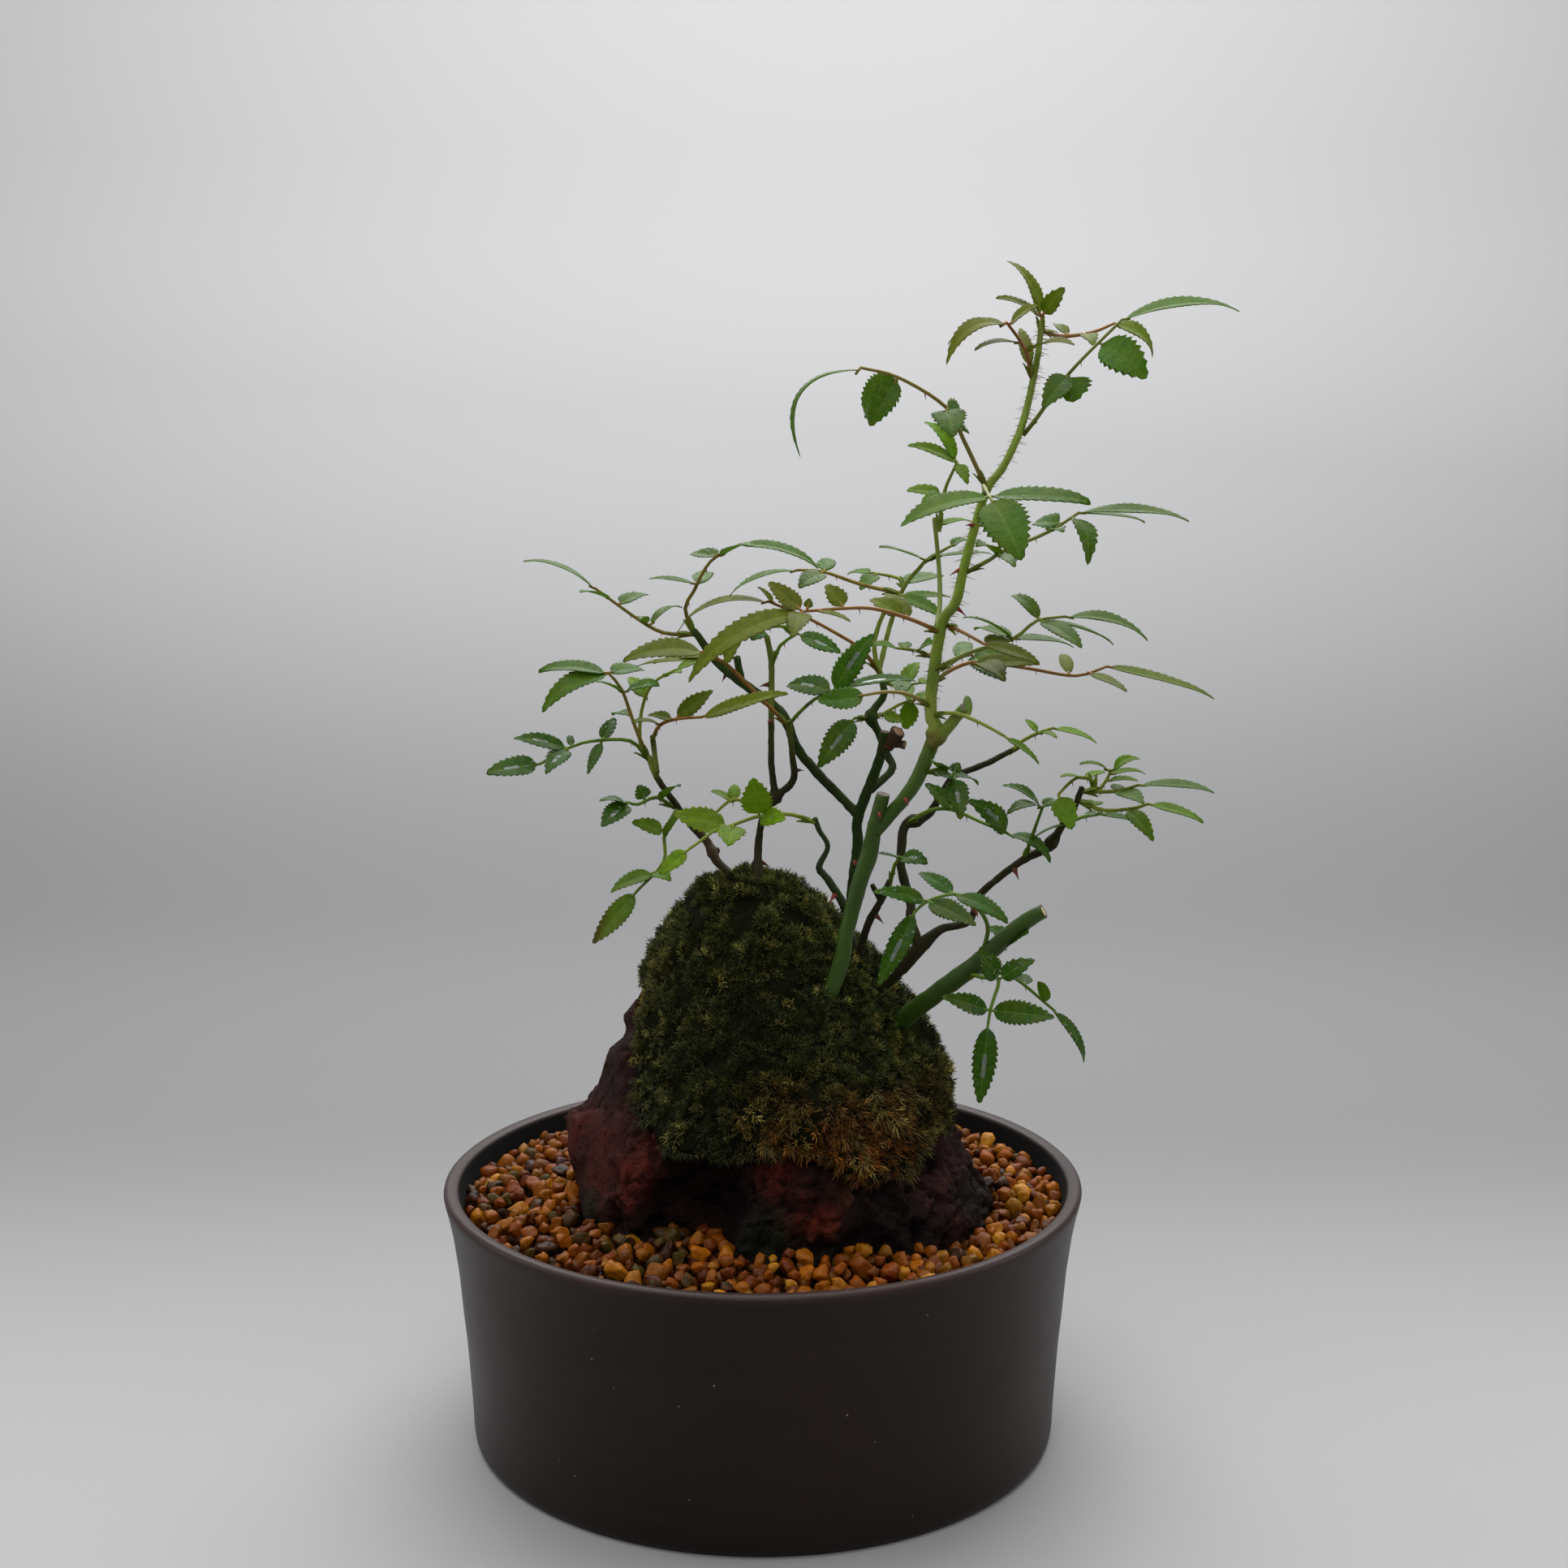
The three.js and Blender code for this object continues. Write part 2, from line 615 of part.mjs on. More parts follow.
// The tall green leader, with the crown of the plant
const leader = {
  seed: 3,
  root: [[16, -20, 112, 1.9], [18, -20, 118, 1.8], [19, -20, 124, 1.7], [22, -20, 136, 1.8],
    [24, -20, 142, 1.9], [25, -21, 148, 1.7], [27, -22, 156, 1.5]],
  shoots: [
    [[25, -21, 147, 1.5], [29, -22, 152, 1.5], [34, -23, 159, 1.6], [38, -25, 170, 1.6],
      [37, -26, 174, 1.4], [37, -27, 180, 1.3], [39, -28, 194, 1.2], [42, -28, 199, 1.1],
      [44, -28, 208, 1], [48, -28, 222, 0.9], [52, -27, 228, 0.85], [56, -25, 237, 0.8],
      [59, -22, 250, 0.7], [60, -20, 258, 0.6]],
    [[37, -25, 167, 1.4], [41, -27, 172, 1.3], [44, -29, 176, 1.2]],
    [[38, -26, 193, 0.6], [39, -20, 198, 0.55], [39, -16, 205, 0.5], [38, -14, 216, 0.5]],
  ],
  knobs: [[38, -25, 170, 2.2]],
  leaves: [
    [[[48, -28, 223], [43, -30, 233], [39, -31, 240], [29, -33, 246], [21, -35, 248]],
      [[1, 8, -38, 230, 5, 0, 7], [0.79, 23, -34, 236, 5.5, 75], [0.79, 22, -20, 238, 8, 70],
        [0.48, 40, -40, 234, 7, 70], [0.48, 44, -20, 235, 7.5, 60]]],
    [[[39, -14, 213], [40, -12, 221], [43, -11, 228]],
      [[1, 36, -8, 237, 3.5, 30, 2], [1, 32, -16, 232, 4, 40], [1, 45, -16, 223.5, 3, 40],
        [0.52, 32, -10, 222, 4, 35]]],
    [[[60, -20, 255], [60, -20, 259]],
      [[1, 53, -17, 271, 4, 15, 2], [1, 50, -24, 263, 4, 30], [1, 64.5, -22, 265, 4, 60]]],
    [[[58, -23, 245.5], [56.5, -23.5, 251.5], [55, -24, 254], [52, -26, 257.5]],
      [[1, 39, -30, 249, 5, 25, 4], [1, 40, -20, 253.5, 4, 20, 2], [0.6, 45, -30, 252, 4, 10],
        [0.95, 58, -30, 261, 4, 40], [0.45, 65, -36, 253, 5, 25]]],
    [[[60, -20, 256], [65, -16, 255], [72, -12, 256], [77, -10, 258]],
      [[1, 86, -8, 251, 6, 30, 2], [0.6, 71, -22, 253, 4, 30]]],
    [[[56, -25, 234], [59, -26, 238], [63, -27, 244], [67, -28, 249], [76, -28, 258]],
      [[1, 101, -26, 260.5, 6.5, 18, 2.2], [0.79, 81, -32, 246, 9, 60],
        [0.5, 66, -30, 241, 8.5, 80], [0.5, 59, -36, 240, 5.5, 60]]],
    [[[48, -28, 222], [46, -46, 224], [46, -64, 222]],
      [[1, 51, -75, 211, 9.5, 65], [0.9, 28, -70, 217.5, 6.5, 25], [0.9, 65, -68, 222, 6.5, 25, 0.5]]],
    [[[44, -28, 205], [49, -30, 208], [52, -31, 210], [61, -33, 214], [67, -34, 218]],
      [[1, 90, -36, 217, 5.5, 15, 1.2], [1, 83, -22, 216, 4, 12, 0.3],
        [0.95, 68, -44, 208, 5, -25, 2.5], [0.85, 58, -28, 215.5, 5.5, 40],
        [0.3, 53, -42, 207.5, 4, 40], [0.3, 45, -42, 212, 4, 30]]],
    [[[39, -28, 192], [33, -31, 195], [24, -36, 198], [16, -40, 198.3], [9, -43, 198]],
      [[1, -15, -46, 184, 6.5, 35, 4], [1, 2, -40, 204, 5, 35, 0], [1, 7, -54, 194, 5, 50],
        [0.72, 14, -36, 203.2, 4.5, 40, 0.3], [0.3, 23.5, -28, 199.5, 5, 35, 0.6],
        [0.9, 19, -46, 196.4, 2.5, 10, 0.3]]],
    [[[37, -28, 184], [45, -29, 188], [54, -30, 191], [59, -31, 195], [65, -32, 196]],
      [[1, 82.5, -34, 191.5, 5.5, 15, 2], [0.83, 54, -24, 200, 3.5, 30, 1.5],
        [0.83, 67, -44, 191, 5, 25, 0.5], [0.6, 43, -36, 196.5, 4, 12],
        [0.6, 46.5, -20, 192.5, 4, 15], [0.6, 68, -24, 189, 5, 12, 0.6],
        [0.83, 77, -22, 189.5, 4.5, 10, 0.8]]],
    [[[37, -27, 181], [42, -24, 184], [48, -20, 185], [59, -15, 183], [70, -12, 181], [77, -11, 183]],
      [[1, 102, -8, 176, 5.5, 15, 0.5], [0.9, 80, -22, 179, 3.5, 12, 0.2],
        [0.25, 60.5, -24, 185.5, 5.5, 30, 0.3], [0.3, 52, -34, 183, 5.5, 35],
        [0.8, 68, -2, 185, 3, 30]]],
    [[[37, -26, 174], [42, -30, 175], [48, -34, 173], [52, -37, 171]],
      [[1, 59, -42, 166, 2.5, 10, 0.5], [0.5, 45, -22, 178, 2, 30]]],
    [[[37, -27, 176], [32, -30, 179], [27, -33, 180], [22.7, -35, 179.6]],
      [[1, 12.3, -38, 178.8, 5.5, 50, -0.8], [0.5, 31, -22, 181, 4, 40]]],
    [[[36, -24, 161], [39, -26, 162], [42, -29, 161]],
      [[1, 43, -36, 153, 5, 70], [0.6, 37, -34, 165, 4, 30], [0.9, 48, -20, 158, 3.5, 25]]],
  ],
};

// The old dark stem in the middle, cut back, with thin shoots and a limb to the left
const oldCentre = {
  seed: 5,
  root: [[20, 2, 121, 1.2], [21, 2, 132, 1.25], [22, 2, 140, 1.3], [22, 2, 146, 1.35],
    [25, 0, 155, 1.3], [27, -1, 161, 1.3], [28, -2, 167, 1.2]],
  shoots: [
    [[25, 1, 153, 1.1], [30, 6, 157, 1], [29, 9, 160, 1], [27, 11, 165, 1], [25.2, 11, 168.3, 1.1],
      [26.5, 12, 171, 0.95], [28.3, 12, 174, 0.9], [27, 12, 180, 0.7]],
    [[22, 2, 147, 1.3], [19, 3, 150, 1.2], [12, 5, 157, 1.2], [8, 6, 162, 1.2], [5, 7, 169, 1.3],
      [2, 8, 172, 1.3], [-5, 9, 177, 1.2], [-11, 10, 182, 1.1], [-16, 10, 189, 0.9]],
    [[-5, 9, 177, 1], [-6, 8, 183, 0.9]],
    [[27, 12, 179, 0.7], [26, 14, 186, 0.6], [29, 16, 194, 0.55], [32, 17, 197, 0.5]],
    [[27, 12, 179, 0.7], [30, 18, 190, 0.6], [33, 20, 198, 0.55], [38, 22, 204, 0.5]],
  ],
  knobs: [[32, -3, 166, 2.8], [24.7, 11, 168.5, 1.9]],
  leaves: [
    [[[-16, 10, 188], [-23, 9, 188.5], [-29, 7, 192], [-38, 4, 199]],
      [[1, -54, 1, 206, 4, 8, 1.6], [0.85, -40.5, -8, 199.7, 3.5, 12, 0.3],
        [0.76, -26.7, 12, 197.3, 5, 15, 0.6], [0.45, -27.5, -4, 193, 2.5, 15],
        [0.42, -19, 16, 194, 3, -5, 1.5]]],
    [[[-16, 10, 188], [-18, 10, 194], [-16, 10, 198], [-12, 9, 205], [-5, 8, 209]],
      [[1, 13, 6, 204, 5, 20, 1.8], [0.8, -17, 14, 206.5, 4.5, 30, 0.2],
        [0.8, -2, -2, 209.5, 4.5, 15, 0.8], [0.47, -26, 6, 201.5, 3, 15, 0.4],
        [0.47, -12.7, 20, 202, 4.5, 25, 0.5]]],
    [[[32, 17, 197], [23, 18, 199], [14, 18, 202], [8, 16, 202.5]],
      [[1, -8, 12, 197.2, 4, 6, 1.6], [0.745, 8.4, 8, 199.3, 5, 45, 0.3],
        [0.745, 15.7, 26, 204.7, 4.5, 30, 0.3]]],
    [[[38, 22, 204], [41, 22, 206], [43.5, 21, 207.5]],
      [[1, 48, 22, 209.3, 4, 15, 0.6], [0.3, 54, 24, 206.2, 3, 8, 0.3],
        [0.1, 27.2, 18, 208.2, 3, 10, 0.3]]],
    [[[33, 20, 198], [32, 24, 200], [26, 28, 201]],
      [[1, 20, 32, 200.6, 4, 15, 0.4], [0.9, 23, 22, 197.5, 4.5, 20],
        [0.2, 43.3, 34, 200.3, 5, 25, 0.3]]],
    [[[25.2, 11, 168.3], [28, 14, 168.8], [32, 17, 170.7], [35.5, 18, 171.7]],
      [[1, 40, 20, 172.5, 4, 15], [0.25, 33, 14, 167, 4, 35], [1, 33.7, 22, 164, 4.5, 60]]],
    [[[27, 12, 177], [32, 18, 175], [37, 24, 175]],
      [[1, 41, 28, 174.5, 4, 20], [0.6, 34, 8, 173, 4, 20]]],
    [[[27, 12, 179], [23.5, 10, 184], [20.6, 8, 186.4], [10.7, 10, 191.7], [1.3, 12, 195.5]],
      [[1, -20.3, 14, 188.7, 4.5, 12, 3.5]]],
    [[[25, 11, 168.3], [23.4, 10, 168.5], [21.3, 9, 168.6]],
      [[1, 12.9, 2, 158.1, 6.3, 70]]],
  ],
};

// The slim stem left of the middle, forked, with a young shoot
const leftCentre = {
  seed: 9,
  root: [[-1, -5, 129, 1.3], [-1, -3, 133, 1.2], [-1, 1, 140, 0.95], [0, 2, 146, 0.9],
    [3, 2, 151, 0.95], [7, 1, 155, 0.9], [7, 0, 160, 0.8], [6, 0, 169, 0.7]],
  shoots: [
    [[3, 2, 151, 0.9], [2, 2, 159, 0.8], [2, 3, 165, 0.8], [2, 4, 172, 0.75], [2, 5, 182, 0.75],
      [1, 6, 188, 0.7]],
  ],
  knobs: [[3, 2, 151, 1.7]],
  leaves: [
    [[[6, 0, 168], [8, -3, 171], [12, -6, 175], [16, -8, 177]],
      [[1, 25, -8, 190, 6, 60], [1, 34, -16, 180.8, 5, 20, 1], [1, 5.5, -2, 177.8, 6, 45, 0.8]]],
    [[[2, 5, 181], [4, 4, 186], [8, 2, 189]],
      [[1, 18, 0, 185, 5, 38, 0]]],
    [[[7.2, 2.4, 188.4], [5.7, 3, 190.4], [1.9, 4, 190.4], [-2, 5, 189]],
      [[1, -9.3, 4, 188.6, 3.5, 15, 0.3], [0.75, -2.6, 1, 187.8, 4.5, 50], [1, -4, 8, 192.3, 3, 20]]],
    [[[0.5, 2, 147.5], [-4, 2, 150.3], [-8, 3, 149.8], [-11, 3, 147]],
      [[1, -12.5, 2, 145.5, 2, 20], [0.6, -12, 6, 152, 2.5, 15], [0.6, -6.5, 8, 153.2, 3, 30]]],
    [[[6, 0, 168], [0.8, -1, 173.4], [-4.7, -4, 179.4], [-7.4, -6, 182.4], [-10.4, -8, 184.6],
      [-12.8, -10, 186.1]],
      [[1, -30.6, -16, 185, 6.5, 35, 1.8], [0.8, -4.8, -10, 188.4, 5, 45, 0.5],
        [0.9, -25, 2, 182.6, 4, 12, 0.3], [0.85, -28.5, -4, 182.7, 4, 10, 0.3]]],
  ],
};

// The knotty stem on the far left
const farLeft = {
  seed: 12,
  root: [[-5, 1, 131, 1.2], [-10, 5, 134.5, 1.1], [-13, 9, 139, 1.1], [-17, 10, 143, 0.9],
    [-20, 11, 147, 0.85], [-25, 12, 154, 0.8], [-27, 13, 159, 0.8]],
  shoots: [
    [[-25, 12, 155, 0.7], [-26, 12, 164, 0.7]],
  ],
  knobs: [[-11, 8, 137, 1.8]],
  leaves: [
    [[[-27, 13, 158], [-30, 12, 166], [-33, 11, 175], [-36, 10, 179]],
      [[1, -52, 8, 180, 5.5, 22, 1.2], [1, -51, 4, 171, 6, 35, 3],
        [1, -28, 16, 179.2, 5.5, 25, 0.6], [0.75, -24, 6, 177, 5, 25],
        [0.75, -38, 2, 178.2, 4, 20, 0.3]]],
    [[[-27, 13, 158.5], [-29, 13, 162.5], [-28.5, 13, 170], [-26, 14, 176], [-21, 15, 179]],
      [[1, -12, 16, 181.8, 4, 15, 0.6], [0.9, -19, 8, 179.5, 4, 15, 0.3]]],
    [[[-27, 13, 158], [-31, 10, 163], [-40, 6, 163.5], [-45, 3, 162.3]],
      [[1, -57, 0, 165.3, 5, 35, 0.6], [1, -49, -6, 158, 5, 40],
        [0.62, -34.8, 14, 168, 3.5, 40, 0.5], [0.62, -40, -2, 157.3, 2.6, 60, 0.3]]],
    [[[-45, 3, 162.3], [-48, 1, 160.7], [-51, -1, 159.3]],
      [[1, -63, -4, 157.8, 6, 42, 0.2]]],
    [[[-26, 12, 163], [-24, 8, 167], [-20, 4, 169], [-14, 0, 170]],
      [[1, 5.5, -13, 177.6, 5, 40, 0.4], [0.6, -11.5, 4, 175.8, 4.5, 50, 0.2]]],
    [[[-21, 11, 147], [-25, 8, 150], [-29, 4, 149], [-31, 1, 150]],
      [[1, -37.3, -3, 151.2, 4.5, 10, 0.4], [1, -36.3, -8, 146.2, 5.5, 45, 0.3],
        [0.6, -29, 6, 153.3, 4, 40], [0.3, -19, 2, 154, 4, 8]]],
    [[[-20, 11, 147], [-23, 6, 142], [-23, 1, 136], [-29, -4, 130]],
      [[1, -38.8, -9, 119, 5, 70, 0], [0.28, -30.2, 2, 145.3, 4.3, 50, 0],
        [0.75, -35, -4, 130, 5, 25], [0.75, -20.8, -10, 134.2, 4, 50]]],
  ],
};

// The curly twig in front of the middle stems
const curlyTwig = {
  seed: 15,
  root: [[20, -2.5, 121.5, 1], [19, -3, 126, 1], [15, -4, 133, 0.9], [13, -5, 136, 0.8],
    [15, -6, 141, 0.6], [13, -7, 145, 0.6], [12, -8, 148, 0.6]],
  shoots: [],
  knobs: [],
  leaves: [
    [[[12, -8, 147], [7, -9, 149], [0, -10, 149], [-7, -12, 147], [-11, -14, 146],
      [-13.5, -14, 144], [-16.3, -15, 142.2]],
      [[1, -23, -17, 136.9, 4, 45, 0], [0.66, -19.8, -11, 149.7, 6, 60, 0],
        [0.62, -7.5, -20, 144.3, 6.5, 60, 0], [0.42, -2, -14, 158, 7, 70, 0],
        [0.42, 5.2, -16, 149.3, 5, 60, 0]]],
  ],
};

// The short brown twig beside it
const shortTwig = {
  seed: 18,
  root: [[23, -6, 118, 0.95], [24, -7, 122.5, 0.95], [27, -9, 129, 0.9], [29, -10, 134, 0.7]],
  shoots: [
    [[27, -9, 129, 0.7], [25, -10, 133, 0.6]],
  ],
  knobs: [],
  leaves: [
    [[[29, -10, 133], [30, -12, 138], [31, -13, 140]],
      [[1, 37.1, -18, 139.8, 4.5, 45, 0.8], [1, 26.3, -18, 142.1, 2, 20, 0]]],
  ],
};

// The forked stem on the right, one limb upright and old, one low and dark
const rightFork = {
  seed: 21,
  root: [[29, -6, 110, 2], [32, -8, 113.5, 1.9], [34, -9, 116, 1.8], [37, -10, 119.5, 1.7],
    [41, -11, 123, 1.1], [47, -12, 125, 0.9], [49, -13, 131, 0.9], [54, -14, 136, 0.9],
    [59, -15, 140, 0.95], [64, -16, 143, 1.1], [67, -17, 148, 0.9], [69, -18, 151, 0.8],
    [71, -19, 157, 0.7]],
  shoots: [
    [[36, -10, 118.5, 1.4], [34, -8, 124, 1.2], [34, -6, 128, 1.15], [32, -4, 135, 1.1],
      [32, -2, 140, 1.1], [33, 0, 145, 1.2], [38, 1, 147, 1], [42, 2, 153, 0.95], [44, 2, 156, 0.9],
      [47, 3, 157, 0.8], [52, 3, 159, 0.75], [58, 4, 162, 0.7]],
  ],
  knobs: [[35, 0, 146, 1.9], [65, -16, 144, 1.9]],
  leaves: [
    [[[33, 0, 145], [38, -4, 149], [43, -8, 150], [49, -12, 148], [55, -16, 146]],
      [[1, 64.4, -20, 140.5, 4, 20, 2], [1, 45.8, -20, 154.4, 5.5, 55, 2],
        [0.5, 37.1, -6, 155.8, 4, 35, 0.5]]],
    [[[57, 4, 161], [60, 4, 164], [64, 4, 166], [67, 4, 167]],
      [[1, 77, 2, 164, 4, 10, 0.6], [0.7, 67, -4, 166, 2.5, 20]]],
    [[[59, -15, 140], [60, -18, 145], [62, -22, 153]],
      [[1, 53, -24, 158.5, 4, 20, 1.2], [1, 53.3, -32, 153.7, 3.5, 25, 1.5],
        [1, 64.9, -18, 154.4, 2.5, 30, 0.3], [0.4, 66.2, -24, 149.7, 2, 20, 0.3]]],
    [[[73.6, -19, 156], [73.6, -19, 157.9], [72.3, -19, 159.1], [69.9, -20, 159.4],
      [67.4, -22, 158.1], [65.2, -24, 156.2]],
      [[1, 67.6, -30, 149.7, 5.5, 60, 0], [0.37, 65.3, -26, 160.7, 2.5, 15, 0.3],
        [0.34, 77, -12, 159.5, 2.5, 15, 0.3]]],
    [[[71, -19, 156], [75, -20, 157], [77, -21, 161]],
      [[1, 83.1, -22, 164, 3.5, 25, 1.2], [1, 69.7, -24, 163.2, 2.5, 15, 0.8],
        [0.9, 85.4, -16, 159.8, 2.5, 12, 0.8]]],
    [[[71, -19, 156], [78, -24, 157], [82, -28, 159]],
      [[1, 97.9, -32, 158.4, 5, 10, 0.8], [0.6, 81.9, -36, 156.6, 4.5, 40, 0.5]]],
    [[[70, -18, 154], [76, -20, 152], [83, -22, 153], [85, -23, 154]],
      [[1, 96.9, -26, 150.7, 4.5, 14, 0.5], [0.7, 85.3, -30, 147.2, 4, 50, 1]]],
    [[[67, -17, 148], [72, -12, 149], [77, -8, 149]],
      [[1, 87.6, -4, 145.6, 4, 14, 0.5], [0.6, 77.5, -6, 149.3, 2.5, 10, 0.3]]],
  ],
};

// The thick green cane cut short on the right
const lowCane = {
  seed: 24,
  root: [[32, -13, 102, 2.4], [35, -17, 106, 2.2], [38, -21, 109.5, 2.1], [42, -25, 114, 2.1],
    [47, -29, 119, 2.1], [53, -33, 126, 1.9], [58, -36, 131, 1.7], [61, -37, 133, 1.6]],
  shoots: [],
  knobs: [],
  leaves: [
    [[[48, -30, 120.5], [49.4, -33, 127.4], [48.1, -36, 131.9], [44.7, -38, 135.8],
      [41.4, -39, 137.2], [35.8, -41, 136.1], [33.1, -42, 134]],
      [[1, 25.1, -46, 118.7, 4.8, 75, 1], [0.89, 24.1, -44, 138.9, 4, 45, 0.8],
        [0.89, 45.1, -52, 133.6, 5, 50, 0.3], [0.69, 34.3, -32, 140.6, 4, 35, 0.5],
        [0.69, 52.3, -48, 133.4, 4.5, 35, 1]]],
    [[[45, -27, 117], [48.3, -34, 117.6], [51.4, -39, 118.5], [50.3, -42, 115.6],
      [49.3, -43, 112.7], [48.8, -44, 109.9]],
      [[1, 46.9, -47, 93.1, 5.3, 85, 0.8], [0.88, 38.8, -48, 117, 4.5, 55, 0.2],
        [0.88, 62.1, -50, 113.1, 5.5, 60, 0.2], [0.57, 46.8, -44, 125.8, 5, 60, 0.2],
        [0.57, 59, -40, 123.1, 4.5, 45, 0.6]]],
    [[[45, -27, 117], [53, -28, 117], [57, -27, 115], [65, -26, 108]],
      [[1, 72.5, -24, 95.4, 3.5, 25, 1.4], [0.62, 58.7, -20, 115, 3.5, 40, 0],
        [0.88, 60.6, -36, 117.5, 3, 30, 0.5]]],
    [[[50, -31, 122.5], [54, -30, 124], [55, -29, 125]],
      [[1, 49.8, -26, 127.1, 3.5, 30, 0.3], [0.8, 57.5, -38, 128.7, 5, 50, 0.3]]],
  ],
};

// Assembly

const OLD_GREEN = { color: 0x4a5a34, roughness: 0.6 };
const FRESH_GREEN = { color: 0x6f8c3e, roughness: 0.5 };
const LEAFY_STEMS = {
  leafy_stem_leader: [leader, FRESH_GREEN],
  leafy_stem_old_centre: [oldCentre, OLD_GREEN],
  leafy_stem_left_centre: [leftCentre, OLD_GREEN],
  leafy_stem_far_left: [farLeft, OLD_GREEN],
  leafy_twig_curly: [curlyTwig, FRESH_GREEN],
  leafy_twig_short: [shortTwig, OLD_GREEN],
  leafy_stem_right_fork: [rightFork, OLD_GREEN],
  leafy_cane_low: [lowCane, FRESH_GREEN],
};

const group = new THREE.Group();

function addPiece(name, solid, { color, roughness, metalness = 0 }) {
  const material = new THREE.MeshStandardMaterial({ color, roughness, metalness });
  const mesh = new THREE.Mesh(geometryFrom(solid), material);
  mesh.name = name;
  group.add(mesh);
}

const rock = solidFrom(rockGeometry());
const rockCutter = solidFrom(grownGeometry(rockGeometry(), GAP + ROCK_CLEARANCE));
const stemHoles = Object.values(LEAFY_STEMS).map(([stem]) => stemHole(stem));
const moss = solidFrom(mossBlob()).subtract(wasm.Manifold.union([rockCutter, ...stemHoles]));

addPiece('pot', potSolid(), { color: 0x352a2c, roughness: 0.55 });
addPiece('drain_mesh', drainNetSolid(), { color: 0x222222, roughness: 0.7 });
addPiece('gravel', gravelSolid(rockCutter), { color: 0xc07f38, roughness: 0.9 });
addPiece('rock', rock, { color: 0x5f3630, roughness: 0.95 });
addPiece('moss', largestPiece(moss), { color: 0x35401d, roughness: 1 });
Object.entries(LEAFY_STEMS).forEach(([name, [stem, look]]) => addPiece(name, leafyStemSolid(stem), look));

export default group;
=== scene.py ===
"""Looks of the miniature rose on its mossy rock, in its pot.

Sizes and places are in mm, as in the part's source.
"""

import math

import bmesh
import bpy
import numpy as np
from mathutils import Matrix, Vector, noise
from mathutils.bvhtree import BVHTree


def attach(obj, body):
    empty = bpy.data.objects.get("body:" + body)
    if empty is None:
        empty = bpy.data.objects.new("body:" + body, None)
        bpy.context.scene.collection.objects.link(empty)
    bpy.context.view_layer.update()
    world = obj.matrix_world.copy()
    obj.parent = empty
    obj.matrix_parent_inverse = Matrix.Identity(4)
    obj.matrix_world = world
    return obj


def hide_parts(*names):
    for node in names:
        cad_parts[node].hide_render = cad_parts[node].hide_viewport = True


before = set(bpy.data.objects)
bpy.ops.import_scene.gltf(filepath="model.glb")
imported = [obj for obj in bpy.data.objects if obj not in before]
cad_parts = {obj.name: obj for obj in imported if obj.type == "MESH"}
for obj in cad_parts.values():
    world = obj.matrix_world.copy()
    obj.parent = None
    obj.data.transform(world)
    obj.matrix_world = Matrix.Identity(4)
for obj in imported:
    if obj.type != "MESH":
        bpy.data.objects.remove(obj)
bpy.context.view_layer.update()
MM = 0.001

# Without a seed, noise.noise_vector gives something else in each run
noise.seed_set(1)

# Pot
RIM_RADIUS = 75
BASE_RADIUS = 69
POT_HEIGHT = 61
WALL = 3.9
FLOOR = 6
POT_SEGMENTS = 144
DRAIN_RADIUS = 5
DRAIN_RING = 17
DRAIN_COUNT = 3
UNDERSIDE_LIFT = 0.4  # inside the foot ring
LIP_WIDTH = 3.5
LOWEST_SHADED_WALL = 47  # painted shade on the inner wall, from here up

# Gravel
GRAVEL_WALL_LEVEL = 55.6
GRAVEL_ROCK_LEVEL = 59.2
GRAIN_SIZES = (2.5, 4.8)
GRAIN_TRIES = 9000
GRAIN_KINDS = 18
GRAIN_FLATS = 8
GRAVEL_MOUND = 24  # how far from the wall it has risen to its level at the rock
GRAVEL_FROM = 30  # the rock fills the middle
GRAVEL_LAYERS = ((0.0, 0.84), (1.9, 0.8))  # how far down each lies, and how close its grains come
LOWER_GRAIN_SIZE = 0.9
# Painted shade: the lower layer's grains keep this share of their colour
LOWER_GRAIN_SHADE = 0.35
GRAIN_CELL = 5
FINE_GRAINS_TO_Y = 4
STAINED_TO_X = -15
GRAINS_LEFT = (0.38, 0.22, 0.6)  # the share that is stained, the darkest and the brightest
GRAINS_ELSEWHERE = (0.06, 0.22, 0.75)
GRAVEL_BED_DROP = 4.4

# Rock and moss
ROCK_VOXEL = 0.85
FACET_GRAIN = 0.15
ROCK_RELIEF = (-3.2, 1.0)
MOSS_VOXEL = 1.2
CLUMPS = 2880
TUFT_LEAVES = 7
TUFT_KINDS = 10
GOLDEN_ANGLE = 2.4
CLUMP_REACHES = (1.1, 2.5)
SHOOT_SIZES = (0.8, 1.6)
GLINTS = (2.0, 4.0)  # painted highlight: how much brighter the tips of some shoots are
GLINT_SHARE = 0.2
YELLOW_SHARE = 0.2
MOSS_FRONT_Y = -16
HANGING_Y = -26  # moss in front of this and below the next hangs
HANGING_Z = 92
HANGING_SHARE = 0.6

# Rose
BLADE_FOLD = 0.24
BLADE_ARCH = 0.07
BLADE_THICKNESS = 0.16
BLADE_FULLNESS = 1.08
THORN_LENGTH = 2.6
THORN_SPACING = 30
ROOT_DEPTH = 6
BARK_CHANGES = (150, 202)
TEETH = ((9, 6), (13.5, 9), (20, 12), (99, 15))  # up to each length, how many teeth a side
TOOTH_NOTCH = 0.82
VEIN_ROWS = 4
BLADE_WIDEST = 0.384
CURLED_TIP = 0.5
UNDERSIDE = -1
DROPS_A_LEAFLET = 26
WET_ENOUGH_FOR_DROPS = 0.45
WIDE_ENOUGH_FOR_POOL = 4
STALK_RADII = (0.52, 0.32)
STALKLET_RADII = (0.34, 0.26)
STALKLET_LENGTH = 1.1
STALK_THORNS = (0.3, 0.62)  # how far along a leaf's stalk
STIPULE_LENGTH = 4.2
